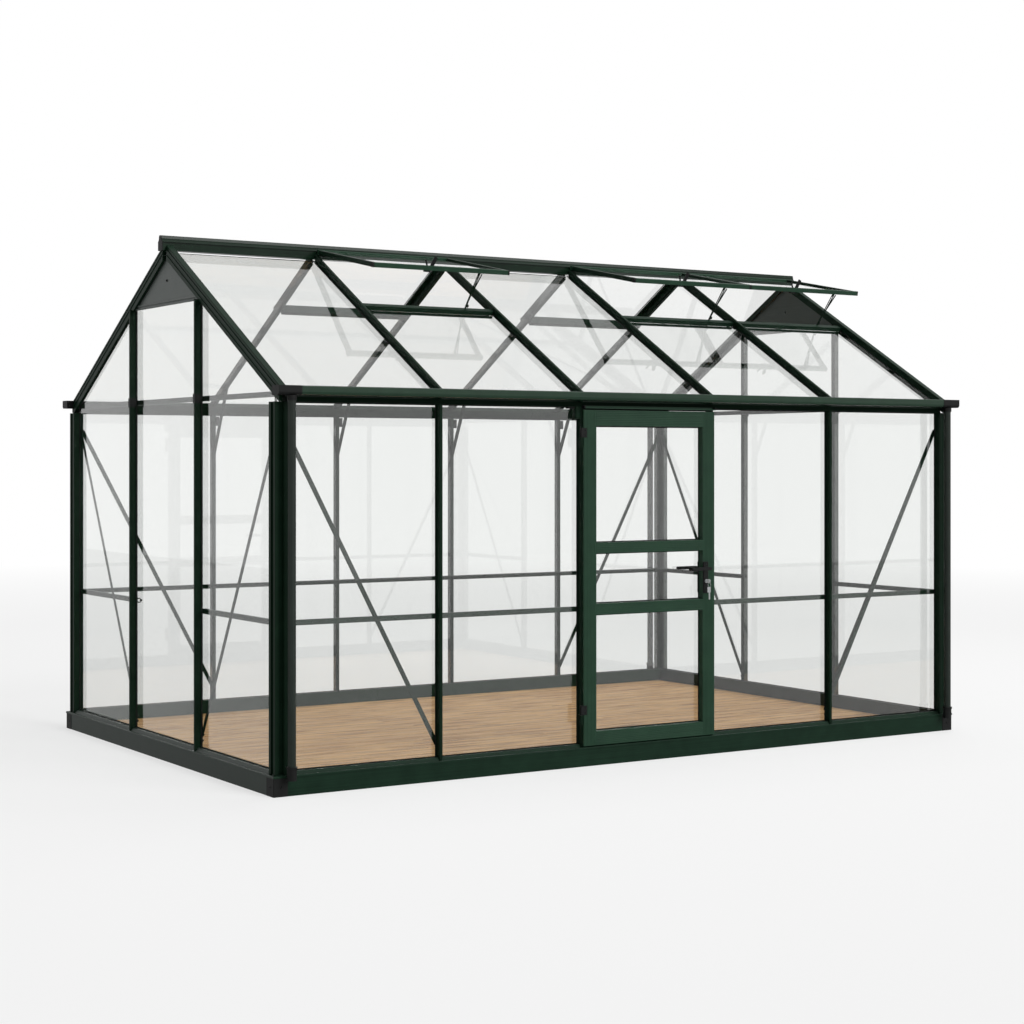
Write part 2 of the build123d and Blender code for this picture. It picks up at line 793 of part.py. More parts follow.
# Gable plates inside the glass, from bar to bar up to the flanges and the ridge, with a folded
# lower edge and a hole
plate_bottom = roof_apex - plate_drop
plate_span = (bay - bar_width) / 2 - fit_gap
plate_depth = gable_flange_depth + fit_gap
lip_span = (roof_z(0, gable_rafter_depth) - plate_bottom - plate_thickness) / tan(slope)
with BuildPart() as gable_plates:
    for end in (-1, 1):
        face = end * (half_long - slot_depth - slot_width)
        with BuildSketch(house_section(face)):
            closed_outline(
                [
                    (-plate_span, plate_bottom),
                    (plate_span, plate_bottom),
                    (plate_span, roof_z(plate_span, plate_depth)),
                    (0, roof_z(0, plate_depth)),
                    (-plate_span, roof_z(plate_span, plate_depth)),
                ]
            )
            with Locations((0, roof_apex - plate_hole_drop)):
                Circle(plate_hole_radius, mode=Mode.SUBTRACT)
        extrude(amount=-end * plate_thickness)
        with BuildSketch(house_section(face)):
            with Locations((0, plate_bottom + plate_thickness / 2)):
                Rectangle(2 * lip_span, plate_thickness)
        extrude(amount=-end * plate_lip)
save(gable_plates.part, "gable_plates")

# Roof lights: sill, frame and pane in the light's own frame, which is then tipped open
light_width = bay - 2 * light_side_gap
lights = [("front", n, light_length_front, light_open_angle) for n in light_bays_front]
lights += [("back", n, light_length_back, 0.0) for n in light_bays_back]


def bay_middle(number):
    """Where the middle of a bay of the long walls lies along the house."""
    return (number - (bays_long + 1) / 2) * bay


def light_plane(side, number, angle):
    """A light's plane: origin at the middle of its hinge edge, y down it, normal inwards."""
    sign = -1 if side == "front" else 1
    tip = slope - radians(angle)
    heel = ridge_half_width + light_hinge_gap
    start = heel + light_frame_depth * sin(tip)
    height = roof_z(heel) + light_rest_gap + light_frame_depth * cos(tip)
    return Plane(
        origin=(bay_middle(number), sign * start, height),
        x_dir=(-sign, 0, 0),
        z_dir=(0, -sign * sin(tip), -cos(tip)),
    )


with BuildSketch() as light_bar_section:
    Rectangle(light_frame_width, light_frame_depth, align=(Align.CENTER, Align.MIN))
    chamfer(light_bar_section.vertices().group_by(Axis.Y)[0], length=light_frame_chamfer)

with BuildPart() as light_side_bars:
    for side, number, length, angle in lights:
        frame = light_plane(side, number, angle)
        for hand in (-1, 1):
            edge = hand * (light_width - light_frame_width) / 2
            start = frame.from_local_coords((edge, light_frame_width, 0))
            with BuildSketch(Plane(origin=start, x_dir=-frame.x_dir, z_dir=frame.y_dir)):
                add(light_bar_section.sketch)
            extrude(amount=length - 2 * light_frame_width)
save(light_side_bars.part, "roof_light_side_bars")

with BuildPart() as light_end_bars:
    for side, number, length, angle in lights:
        frame = light_plane(side, number, angle)
        for down in (light_frame_width / 2, length - light_frame_width / 2):
            start = frame.from_local_coords((-light_width / 2, down, 0))
            with BuildSketch(Plane(origin=start, x_dir=frame.y_dir, z_dir=frame.x_dir)):
                add(light_bar_section.sketch)
            extrude(amount=light_width)
save(light_end_bars.part, "roof_light_end_bars")

with BuildPart() as light_glass:
    for side, number, length, angle in lights:
        with BuildSketch(light_plane(side, number, angle).offset(light_glass_depth)):
            with Locations((0, length / 2)):
                Rectangle(
                    light_width - 2 * light_frame_width - 2 * glass_gap,
                    length - 2 * light_frame_width - 2 * glass_gap,
                )
        extrude(amount=glass_thickness)
save(light_glass.part, "roof_light_glass")

with BuildPart() as light_sills:
    for side, number, length, angle in lights:
        across = bay_middle(number) if side == "front" else -bay_middle(number)
        sill_foot = length - light_past_sill
        with BuildSketch(roof_face(side, light_sill_drop)):
            with Locations((across, sill_foot - light_sill_width / 2)):
                Rectangle(bay - bar_width, light_sill_width)
        extrude(amount=bar_depth)
        with BuildSketch(roof_face(side, slot_depth)):
            with Locations((across, sill_foot)):
                Rectangle(bay, 2 * slot_bite)
        extrude(amount=slot_width, mode=Mode.SUBTRACT)
save(light_sills.part, "roof_light_sills")

# Stays that hold the open lights, from the light's foot bar down to its sill
with BuildPart() as light_stays:
    for number in light_bays_front:
        frame = light_plane("front", number, light_open_angle)
        hold = light_length_front - light_frame_width / 2
        upper = frame.from_local_coords((0, hold - stay_width / 2, light_frame_depth))
        lower = frame.from_local_coords((0, hold + stay_width / 2, light_frame_depth))
        sill_middle = light_length_front - light_past_sill - light_sill_width / 2
        rest = sill_middle * cos(slope) - light_sill_drop * sin(slope)
        top_in, top_out = (upper.Y, upper.Z), (lower.Y, lower.Z)
        foot_in = (-rest + stay_finger / 2, roof_z(rest - stay_finger / 2, light_sill_drop))
        foot_out = (-rest - stay_finger / 2, roof_z(rest + stay_finger / 2, light_sill_drop))
        slot_corners = []
        for share, rims in ((stay_slot_ends[0], (1, 0)), (stay_slot_ends[1], (0, 1))):
            inner_edge = between(top_in, foot_in, share)
            outer_edge = between(top_out, foot_out, share)
            near = between(inner_edge, outer_edge, stay_slot_rim)
            far = between(outer_edge, inner_edge, stay_slot_rim)
            slot_corners += [near, far] if rims[0] else [far, near]
        stay_x = bay_middle(number) + bay / 2 - stay_from_bar
        with BuildSketch(house_section(stay_x)):
            closed_outline([top_out, top_in, foot_in, foot_out])
            Polygon(*slot_corners, align=None, mode=Mode.SUBTRACT)
        extrude(amount=stay_thickness / 2, both=True)
save(light_stays.part, "roof_light_stays")

# Panes of the long walls: from the base to the slot in the eave beam, edges in the bars' slots
wall_glass_foot = base_height + fit_gap
wall_glass_head = eave_height + glass_bite
for side, numbers in (("front", (1, 2, 4, 5)), ("back", (1, 2, 3, 4, 5))):
    with BuildPart() as wall_glass:
        with BuildSketch(wall_face(side, glass_depth)):
            for number in numbers:
                start = (number - 1 - bays_long / 2) * bay + bar_width / 2
                end = start + bay - bar_width
                if number == 1:
                    start = -half_long + post_leg
                if number == bays_long:
                    end = half_long - post_leg
                middle = ((start + end) / 2, (wall_glass_foot + wall_glass_head) / 2)
                with Locations(middle):
                    Rectangle(end - start + 2 * glass_bite, wall_glass_head - wall_glass_foot)
        extrude(amount=-glass_thickness)
    save(wall_glass.part, f"{side}_glass")

# Panes of the gables, their heads cut to the pitch behind the gable rafters
def gable_head(along):
    """Height of a gable pane's head at a distance from the middle."""
    return roof_z(along, gable_rafter_depth - gable_head_cover)


with BuildPart() as gable_glass:
    for side in ("left", "right"):
        with BuildSketch(wall_face(side, glass_depth)):
            edge = half_wide - post_leg + glass_bite
            near = bay / 2 + bar_width / 2 - glass_bite
            far = bay / 2 - bar_width / 2 + glass_bite
            for hand in (-1, 1):
                closed_outline(
                    [
                        (hand * near, wall_glass_foot),
                        (hand * edge, wall_glass_foot),
                        (hand * edge, gable_head(edge)),
                        (hand * near, gable_head(near)),
                    ]
                )
            closed_outline(
                [
                    (-far, wall_glass_foot),
                    (far, wall_glass_foot),
                    (far, gable_head(far)),
                    (0, gable_head(0)),
                    (-far, gable_head(far)),
                ]
            )
        extrude(amount=-glass_thickness)
save(gable_glass.part, "gable_glass")

# Roof panes, from the ridge or a light's sill down to the eave
with BuildPart() as roof_glass:
    for side, lit, length in (
        ("front", light_bays_front, light_length_front),
        ("back", light_bays_back, light_length_back),
    ):
        hand = 1 if side == "front" else -1
        with BuildSketch(roof_face(side, glass_depth)):
            for number in range(1, bays_long + 1):
                start = (number - 1 - bays_long / 2) * bay + bar_width / 2 - glass_bite
                end = start + bay - bar_width + 2 * glass_bite
                if number == 1:
                    start = -roof_half - glass_bite
                if number == bays_long:
                    end = roof_half + glass_bite
                head = ridge_half_width / cos(slope) + glass_depth * tan(slope)
                head += roof_glass_head_gap
                if number in lit:
                    head = length - light_past_sill - glass_bite
                foot = half_wide / cos(slope) - glass_depth * tan(slope) - roof_glass_foot_gap
                with Locations((hand * (start + end) / 2, (head + foot) / 2)):
                    Rectangle(end - start, foot - head)
        extrude(amount=glass_thickness)
save(roof_glass.part, "roof_glass")

# Knee braces between the back wall's bars and the back rafters
knee_face = half_wide - bar_depth
knee_tip = knee_face - knee_reach
knee_foot = eave_height - knee_foot_drop
knee_lean = atan2(roof_z(knee_tip, bar_depth) - knee_foot, knee_reach)
knee_wall_cut = knee_width / cos(knee_lean)
knee_roof_cut = knee_width / sin(knee_lean - slope) * cos(slope)
with BuildPart() as knee_braces:
    for x in bar_lines_long:
        with BuildSketch(house_section(x)):
            closed_outline(
                [
                    (knee_face, knee_foot),
                    (knee_face, knee_foot + knee_wall_cut),
                    (knee_tip + knee_roof_cut, roof_z(knee_tip + knee_roof_cut, bar_depth)),
                    (knee_tip, roof_z(knee_tip, bar_depth)),
                ]
            )
        extrude(amount=knee_thickness / 2, both=True)
save(knee_braces.part, "knee_braces")

# Drip cap on the eave beam over the door
drip_bottom = eave_height - drip_drop
with BuildPart() as drip_cap:
    with BuildSketch(wall_section("front", -bay / 2)):
        with Locations((-drip_out / 2, drip_bottom + drip_thickness / 2)):
            Rectangle(drip_out, drip_thickness)
        drip_back = drip_drop + beam_lip_height
        with Locations((-drip_thickness / 2, drip_bottom + drip_back / 2)):
            Rectangle(drip_thickness, drip_back)
    extrude(amount=bay)
save(drip_cap.part, "door_drip_cap")

# Door stiles: an outer lip over the bars, and a body between them with the pane's slot
door_half = bay / 2 + door_overlap
door_body_half = bay / 2 - bar_width / 2 - door_side_gap
door_light_half = door_half - door_stile
door_slot_middle = door_slot_in + slot_width / 2
lip_depth = door_lip_out - door_lip_in
body_depth = door_lip_in + door_body_in
with BuildPart() as door_stiles:
    for hand in (-1, 1):
        with BuildSketch(wall_level("front", door_bottom)) as lip_section:
            with Locations((hand * (door_half - door_stile / 2), -door_lip_out + lip_depth / 2)):
                Rectangle(door_stile, lip_depth)
            edge = lip_section.vertices().sort_by_distance((hand * door_half, -door_lip_out))[0]
            fillet(edge, radius=door_lip_radius)
        extrude(amount=door_top - door_bottom)
        with BuildSketch(wall_level("front", door_body_bottom)):
            body = door_body_half - door_light_half
            with Locations((hand * (door_light_half + body / 2), -door_lip_in + body_depth / 2)):
                Rectangle(body, body_depth)
            with Locations((hand * door_light_half, door_slot_middle)):
                Rectangle(2 * door_slot_bite, slot_width, mode=Mode.SUBTRACT)
        extrude(amount=door_top - door_body_bottom)
save(door_stiles.part, "door_stiles")

# Door rails between the stiles: each is (underside, height), with a slot on each glazed edge
door_rails_spec = [(door_top - door_top_rail, door_top_rail), *door_middle_rails]
door_rails_spec += [(door_bottom, door_bottom_rail)]
with BuildPart() as door_rails:
    for bottom, height in door_rails_spec:
        lowest = max(bottom, door_body_bottom)
        glazed_edges = [bottom, bottom + height]
        if bottom == door_bottom:
            glazed_edges = [bottom + height]
        if bottom + height == door_top:
            glazed_edges = [bottom]
        with BuildSketch(wall_section("front", -door_light_half)):
            with Locations((-door_lip_out + lip_depth / 2, bottom + height / 2)):
                Rectangle(lip_depth, height)
            with Locations((-door_lip_in + body_depth / 2, (lowest + bottom + height) / 2)):
                Rectangle(body_depth, bottom + height - lowest)
            with Locations(*[(door_slot_middle, level) for level in glazed_edges]):
                Rectangle(slot_width, 2 * door_slot_bite, mode=Mode.SUBTRACT)
        extrude(amount=2 * door_light_half)
save(door_rails.part, "door_rails")

# Door panes, one between each rail and the next
rails_upwards = sorted(door_rails_spec)
with BuildPart() as door_glass:
    with BuildSketch(wall_face("front", door_slot_in + glass_gap)):
        for below, above in zip(rails_upwards, rails_upwards[1:]):
            low, high = below[0] + below[1], above[0]
            with Locations((0, (low + high) / 2)):
                Rectangle(2 * (door_light_half + door_glass_bite), high - low + 2 * door_glass_bite)
    extrude(amount=-glass_thickness)
save(door_glass.part, "door_glass")

# Hinges: the wall's half carries the pin, the door's half turns on it
hinge_x = -bay / 2 - bar_width / 2 - hinge_beyond_bar
hinge_axis = (hinge_x, -hinge_axis_out)
hinge_feet = [
    door_bottom + hinge_from_bottom - hinge_height / 2,
    door_top - hinge_from_top - hinge_height / 2,
]
half_knuckle = (hinge_height - hinge_gap) / 2
bar_side = -bay / 2 - bar_width / 2
with BuildPart() as frame_hinges:
    for low in hinge_feet:
        with BuildSketch(wall_level("front", low)):
            with Locations(hinge_axis):
                Circle(hinge_radius)
        extrude(amount=half_knuckle)
        with BuildSketch(wall_level("front", low)):
            with Locations(hinge_axis):
                Circle(hinge_pin_radius)
        extrude(amount=hinge_height)
        with BuildSketch(wall_level("front", low)):
            closed_outline(
                [
                    (bar_side, hinge_leaf_in),
                    (bar_side - hinge_leaf, hinge_leaf_in),
                    (bar_side - hinge_leaf, hinge_leaf_hook - hinge_axis_out),
                    (bar_side - hinge_leaf - hinge_leaf_hook, hinge_leaf_hook - hinge_axis_out),
                    (bar_side - hinge_leaf - hinge_leaf_hook, -hinge_axis_out),
                    (bar_side, -hinge_axis_out),
                ]
            )
        extrude(amount=half_knuckle)
save(frame_hinges.part, "frame_hinges")

with BuildPart() as door_hinges:
    for low in hinge_feet:
        with BuildSketch(wall_level("front", low + hinge_height - half_knuckle)):
            with Locations(hinge_axis):
                Circle(hinge_radius)
            with Locations((hinge_x + hinge_plate_width / 2, -door_lip_out - hinge_leaf / 2)):
                Rectangle(hinge_plate_width, hinge_leaf)
            with Locations(hinge_axis):
                Circle(hinge_pin_radius + hinge_pin_gap, mode=Mode.SUBTRACT)
        extrude(amount=half_knuckle)
save(door_hinges.part, "door_hinges")

# Handle plates on both faces of the lock stile, their outer edges chamfered
handle_x = door_half - handle_from_edge
plate_top = handle_height + handle_plate_above
plate_foot = handle_height - handle_plate_below
outer_plate_face = -door_lip_out - handle_plate_thickness
inner_plate_face = door_body_in + handle_plate_thickness
with BuildPart() as handle_plate:
    with BuildSketch(wall_face("front", -door_lip_out)):
        with Locations((handle_x, (plate_top + plate_foot) / 2)):
            RectangleRounded(handle_plate_width, plate_top - plate_foot, handle_plate_radius)
    extrude(amount=handle_plate_thickness)
    chamfer(handle_plate.faces().sort_by(Axis.Y)[0].edges(), length=handle_edge_chamfer)
save(handle_plate.part, "handle_plate")

with BuildPart() as inner_plate:
    with BuildSketch(wall_face("front", inner_plate_face)):
        with Locations((handle_x, (plate_top + plate_foot) / 2)):
            RectangleRounded(handle_plate_width, plate_top - plate_foot, handle_plate_radius)
    extrude(amount=handle_plate_thickness)
    chamfer(inner_plate.faces().sort_by(Axis.Y)[-1].edges(), length=handle_edge_chamfer)
save(inner_plate.part, "inner_handle_plate")

# Levers: a round neck and a flat bar whose end returns towards the door
for name, face, out in (
    ("door_lever", outer_plate_face - fit_gap, -1),
    ("inner_lever", inner_plate_face + fit_gap, 1),
):
    with BuildPart() as lever:
        bar_near = face + out * (handle_reach - lever_thickness)
        bar_far = face + out * handle_reach
        bar_right = handle_x + lever_width / 2
        bar_left = bar_right - lever_length
        with BuildSketch(wall_level("front", handle_height - lever_width / 2)) as lever_plan:
            closed_outline(
                [
                    (bar_right, bar_near),
                    (bar_right, bar_far),
                    (bar_left, bar_far),
                    (bar_left, bar_near - out * lever_return),
                    (bar_left + lever_thickness, bar_near - out * lever_return),
                    (bar_left + lever_thickness, bar_near),
                ]
            )
            fillet(lever_plan.vertices().sort_by_distance((bar_left, bar_far))[0], lever_bend_radius)
            fillet(lever_plan.vertices().sort_by_distance((bar_right, bar_far))[0], lever_end_radius)
        extrude(amount=lever_width)
        flat_faces = lever.faces().filter_by(Axis.Z).sort_by(Axis.Z)
        chamfer(flat_faces[0].edges() + flat_faces[-1].edges(), length=lever_edge_chamfer)
        with BuildSketch(wall_face("front", face)):
            with Locations((handle_x, handle_height)):
                Circle(handle_neck_radius)
        extrude(amount=-out * (handle_reach - lever_thickness / 2))
    save(lever.part, name)

# Lock cylinder in the outer plate, and its key
cylinder_height = handle_height - cylinder_below
with BuildPart() as lock_cylinder:
    with BuildSketch(wall_face("front", outer_plate_face)):
        with Locations((handle_x, cylinder_height)):
            Circle(cylinder_radius)
    extrude(amount=cylinder_proud)
save(lock_cylinder.part, "lock_cylinder")

key_face = -half_wide + outer_plate_face - cylinder_proud
bow_middle = key_face - key_shank - key_bow_radius + key_neck
with BuildPart() as key:
    with BuildSketch(house_section(handle_x)):
        with Locations((key_face - key_shank / 2, cylinder_height)):
            Rectangle(key_shank, key_shank_height)
        with Locations((bow_middle, cylinder_height)):
            Circle(key_bow_radius)
        with Locations((bow_middle - key_bow_radius / 2, cylinder_height)):
            Circle(key_hole_radius, mode=Mode.SUBTRACT)
    extrude(amount=key_thickness / 2, both=True)
save(key.part, "door_key")
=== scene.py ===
"""Finishes, light, camera and small pieces of the glass greenhouse.

Frame: metres, +Z up, +X along the ridge, the door faces -Y.
"""

import random
from math import cos, radians, sin, tan

import bmesh
import bpy
from mathutils import Matrix, Vector


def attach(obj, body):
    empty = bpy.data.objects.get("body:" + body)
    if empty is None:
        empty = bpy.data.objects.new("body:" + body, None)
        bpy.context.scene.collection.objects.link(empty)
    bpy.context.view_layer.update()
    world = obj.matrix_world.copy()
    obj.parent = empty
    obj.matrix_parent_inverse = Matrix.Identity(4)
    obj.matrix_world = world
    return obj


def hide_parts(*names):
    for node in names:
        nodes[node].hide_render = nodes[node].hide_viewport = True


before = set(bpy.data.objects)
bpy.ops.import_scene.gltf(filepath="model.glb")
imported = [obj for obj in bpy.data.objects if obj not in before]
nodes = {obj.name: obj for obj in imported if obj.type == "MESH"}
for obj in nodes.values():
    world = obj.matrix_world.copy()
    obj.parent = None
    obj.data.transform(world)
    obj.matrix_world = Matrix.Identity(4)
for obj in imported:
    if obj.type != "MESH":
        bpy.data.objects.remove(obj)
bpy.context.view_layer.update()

MM = 0.001

# The photo's size, and the camera worked out from 55 places measured in it
IMAGE_SIZE = 1024
FOCAL_LENGTH_PX = 1909.3
CENTRE_PX = (405.0, 459.9)
CAMERA_PLACE = (-5.343, -8.024, 1.3555)
CAMERA_HEADING = 0.5339
SENSOR_MM = 36.0


def add(tree, kind, inputs=None, **settings):
    """Add a node. Its settings are its properties, and an input is a value, a socket or a node.

    Of a node, the first output is taken.
    """
    node = tree.nodes.new(kind)
    for name, value in settings.items():
        setattr(node, name, value)
    for socket, value in (inputs or {}).items():
        if isinstance(value, bpy.types.Node):
            value = value.outputs[0]
        if isinstance(value, bpy.types.NodeSocket):
            tree.links.new(value, node.inputs[socket])
        else:
            node.inputs[socket].default_value = value
    return node


def linear(hex_colour):
    """A colour written as sRGB hex, as linear red, green, blue and alpha."""
    shares = [int(hex_colour[i:i + 2], 16) / 255 for i in (0, 2, 4)]
    return [s / 12.92 if s <= 0.04045 else ((s + 0.055) / 1.055) ** 2.4 for s in shares] + [1.0]


def empty_material(name):
    """A material with an empty node tree: returns both, and the Object coordinates."""
    material = bpy.data.materials.new(name)
    material.use_nodes = True
    tree = material.node_tree
    tree.nodes.clear()
    return material, tree, add(tree, "ShaderNodeTexCoord").outputs["Object"]


def powder_coat(name, along, dark, light, level, rough):
    """Extruded aluminium, powder-coated dark green.

    The coat is satin with a fine orange peel, drawn at 3 mm so that it shows, and the die's lines
    run along the extrusion. The level is how strongly the coat mirrors the room.
    """
    material, tree, place = empty_material(name)
    stretch = [420.0, 420.0, 420.0]
    stretch["XYZ".index(along)] = 1.3
    stretched = add(tree, "ShaderNodeMapping", {"Vector": place, "Scale": stretch})
    die_lines = add(tree, "ShaderNodeTexNoise", {"Vector": stretched, "Scale": 1.0, "Detail": 1.0})
    mottle = add(tree, "ShaderNodeTexNoise", {"Vector": place, "Scale": 14.0, "Detail": 3.0})
    peel = add(tree, "ShaderNodeTexNoise", {"Vector": place, "Scale": 330.0, "Detail": 1.0})
    tone = add(tree, "ShaderNodeMix", {0: 0.4, 2: die_lines, 3: mottle})
    share = add(tree, "ShaderNodeMapRange", {"Value": tone, "From Min": 0.3, "From Max": 0.7})
    tones = {0: share, 6: linear(dark), 7: linear(light)}
    colour = add(tree, "ShaderNodeMix", tones, data_type="RGBA")
    gloss = add(
        tree,
        "ShaderNodeMapRange",
        {"Value": tone, "From Min": 0.3, "From Max": 0.7, "To Min": rough[0], "To Max": rough[1]},
    )
    peeled = add(tree, "ShaderNodeBump", {"Height": peel, "Distance": 0.05 * MM, "Strength": 0.5})
    lined = add(
        tree,
        "ShaderNodeBump",
        {"Height": die_lines, "Distance": 0.06 * MM, "Strength": 0.7, "Normal": peeled},
    )
    shader = add(
        tree,
        "ShaderNodeBsdfPrincipled",
        {
            "Base Color": colour.outputs[2],
            "Roughness": gloss,
            "Normal": lined,
            "IOR": 1.5,
            "Specular IOR Level": level,
        },
    )
    add(tree, "ShaderNodeOutputMaterial", {"Surface": shader})
    return material


def black_plastic():
    """Moulded black nylon: matt, with a fine spark texture drawn at 4 mm so that it shows."""
    material, tree, place = empty_material("moulded_black_nylon")
    grain = add(tree, "ShaderNodeTexNoise", {"Vector": place, "Scale": 260.0})
    cloud = add(tree, "ShaderNodeTexNoise", {"Vector": place, "Scale": 20.0})
    tones = {0: cloud, 6: linear("0b0c0b"), 7: linear("1b1c1c")}
    colour = add(tree, "ShaderNodeMix", tones, data_type="RGBA")
    gloss = add(tree, "ShaderNodeMapRange", {"Value": grain, "To Min": 0.38, "To Max": 0.62})
    rough = add(tree, "ShaderNodeBump", {"Height": grain, "Distance": 0.1 * MM, "Strength": 0.5})
    shader = add(
        tree,
        "ShaderNodeBsdfPrincipled",
        {
            "Base Color": colour.outputs[2],
            "Roughness": gloss,
            "Normal": rough,
            "IOR": 1.53,
            "Specular IOR Level": 0.12,
        },
    )
    add(tree, "ShaderNodeOutputMaterial", {"Surface": shader})
    return material


def seal_rubber():
    """Extruded black glazing rubber: dull, a little paler where dust lies on it."""
    material, tree, place = empty_material("extruded_glazing_rubber")
    dust = add(tree, "ShaderNodeTexNoise", {"Vector": place, "Scale": 45.0, "Detail": 3.0})
    tones = {0: dust, 6: linear("080908"), 7: linear("171817")}
    colour = add(tree, "ShaderNodeMix", tones, data_type="RGBA")
    dull = add(tree, "ShaderNodeMapRange", {"Value": dust, "To Min": 0.6, "To Max": 0.8})
    shader = add(
        tree,
        "ShaderNodeBsdfPrincipled",
        {
            "Base Color": colour.outputs[2],
            "Roughness": dull,
            "IOR": 1.52,
            "Specular IOR Level": 0.2,
        },
    )
    add(tree, "ShaderNodeOutputMaterial", {"Surface": shader})
    return material


def brushed_steel(name, dark, light):
    """Steel, bright or blackened: a mirror broken by fine brushing, with slight stains."""
    material, tree, place = empty_material(name)
    stretched = add(tree, "ShaderNodeMapping", {"Vector": place, "Scale": (900.0, 900.0, 60.0)})
    brushing = add(tree, "ShaderNodeTexNoise", {"Vector": stretched, "Scale": 1.0, "Detail": 1.0})
    stain = add(tree, "ShaderNodeTexNoise", {"Vector": place, "Scale": 90.0})
    tones = {0: stain, 6: linear(dark), 7: linear(light)}
    colour = add(tree, "ShaderNodeMix", tones, data_type="RGBA")
    gloss = add(tree, "ShaderNodeMapRange", {"Value": brushing, "To Min": 0.2, "To Max": 0.42})
    lined = add(
        tree, "ShaderNodeBump", {"Height": brushing, "Distance": 0.03 * MM, "Strength": 0.5}
    )
    shader = add(
        tree,
        "ShaderNodeBsdfPrincipled",
        {"Base Color": colour.outputs[2], "Roughness": gloss, "Normal": lined, "Metallic": 1.0},
    )
    add(tree, "ShaderNodeOutputMaterial", {"Surface": shader})
    return material


def float_glass(name, ior, tint):
    """Clear float glass, 4 mm: smooth, faintly grey, and a mirror for the pale room round it.

    Lamps and the soft light of the room pass through it, as through a thin pane.
    """
    material, tree, place = empty_material(name)
    film = add(tree, "ShaderNodeTexNoise", {"Vector": place, "Scale": 3.0})
    smooth = add(tree, "ShaderNodeMapRange", {"Value": film, "To Min": 0.0, "To Max": 0.015})
    shader = add(
        tree,
        "ShaderNodeBsdfPrincipled",
        {
            "Base Color": linear(tint),
            "Roughness": smooth,
            "Transmission Weight": 1.0,
            "IOR": ior,
        },
    )
    clear = add(tree, "ShaderNodeBsdfTransparent", {"Color": linear(tint)})
    path = add(tree, "ShaderNodeLightPath")
    passing = add(
        tree,
        "ShaderNodeMath",
        {0: path.outputs["Is Shadow Ray"], 1: path.outputs["Is Diffuse Ray"]},
        operation="MAXIMUM",
    )
    mixed = add(tree, "ShaderNodeMixShader", {0: passing, 1: shader, 2: clear})
    add(tree, "ShaderNodeOutputMaterial", {"Surface": mixed})
    return material


def oiled_boards():
    """Planed softwood boards along the house, oiled: straight grain, growth bands and small knots.

    Each board carries its own tone, and its grain starts elsewhere.
    """
    material, tree, place = empty_material("oiled_softwood_boards")
    board = add(tree, "ShaderNodeAttribute", attribute_name="board_tone")
    shift = add(
        tree,
        "ShaderNodeVectorMath",
        {0: board.outputs["Vector"], 1: (7.1, 3.7, 0.9)},
        operation="MULTIPLY",
    )
    moved = add(tree, "ShaderNodeVectorMath", {0: place, 1: shift}, operation="ADD")
    patterns = {}
    for label, across, detail in (
        ("bands", (1.3, 16.0, 16.0), 4.0),
        ("streaks", (3.2, 62.0, 62.0), 3.0),
        ("fibres", (9.0, 300.0, 300.0), 2.0),
    ):
        stretched = add(tree, "ShaderNodeMapping", {"Vector": moved, "Scale": across})
        inputs = {"Vector": stretched, "Scale": 1.0, "Detail": detail, "Roughness": 0.6}
        patterns[label] = add(tree, "ShaderNodeTexNoise", inputs).outputs[0]
    stretched = add(tree, "ShaderNodeMapping", {"Vector": moved, "Scale": (1.1, 6.0, 6.0)})
    cells = add(tree, "ShaderNodeTexVoronoi", {"Vector": stretched, "Scale": 1.0})
    colour = linear("eec38a")
    for value, low, high, most, least, other in (
        (patterns["bands"], 0.3, 0.7, 0.0, 1.0, "d8aa76"),
        (board.outputs["Fac"], 0.0, 1.0, 0.0, 0.45, "bf905e"),
        (patterns["streaks"], 0.4, 0.52, 0.85, 0.0, "8c623c"),
        (patterns["fibres"], 0.3, 0.7, 0.3, 0.0, "a67c50"),
        (cells.outputs["Distance"], 0.02, 0.12, 0.7, 0.0, "6b482c"),
    ):
        share = add(
            tree,
            "ShaderNodeMapRange",
            {"Value": value, "From Min": low, "From Max": high, "To Min": most, "To Max": least},
        )
        tones = {0: share, 6: colour, 7: linear(other)}
        colour = add(tree, "ShaderNodeMix", tones, data_type="RGBA").outputs[2]
    fibres = patterns["fibres"]
    dull = add(tree, "ShaderNodeMapRange", {"Value": fibres, "To Min": 0.5, "To Max": 0.66})
    raised = add(
        tree, "ShaderNodeBump", {"Height": fibres, "Distance": 0.25 * MM, "Strength": 0.6}
    )
    shader = add(
        tree,
        "ShaderNodeBsdfPrincipled",
        {"Base Color": colour, "Roughness": dull, "Normal": raised, "Specular IOR Level": 0.3},
    )
    add(tree, "ShaderNodeOutputMaterial", {"Surface": shader})
    return material


# The finishes. A coat's roughness goes from its first number to its second
DULL = (0.55, 0.65)
SATIN = (0.34, 0.46)
SMOOTH = (0.2, 0.28)
GLOSSY = (0.15, 0.22)
GREEN_ALONG = {
    "X": powder_coat("powder_coated_aluminium_along_X", "X", "0f2117", "182f22", 0.08, SATIN),
    "Y": powder_coat("powder_coated_aluminium_along_Y", "Y", "0b1d12", "15291d", 0.06, SATIN),
    # The upright parts' tones are darker than the rails': the coat's green with painted shade on
    # the narrow bars and posts
    "Z": powder_coat("powder_coated_aluminium_along_Z_painted_shade", "Z", "0a1a10", "13271b", 0.06, SATIN),
}
# The eave beams' tones are darker and duller than the rest of the frame: painted shade from the
# gutter over them
GREEN_BEAM_PAINTED_SHADE = powder_coat("powder_coated_aluminium_beam_painted_shade", "X", "08140c", "0e1e14", 0.03, DULL)
GREEN_GUTTER = powder_coat("powder_coated_aluminium_gutter", "X", "13291c", "1e3928", 0.28, SMOOTH)
GREEN_RIDGE = powder_coat("powder_coated_aluminium_ridge", "X", "0a1a10", "13281b", 0.15, GLOSSY)
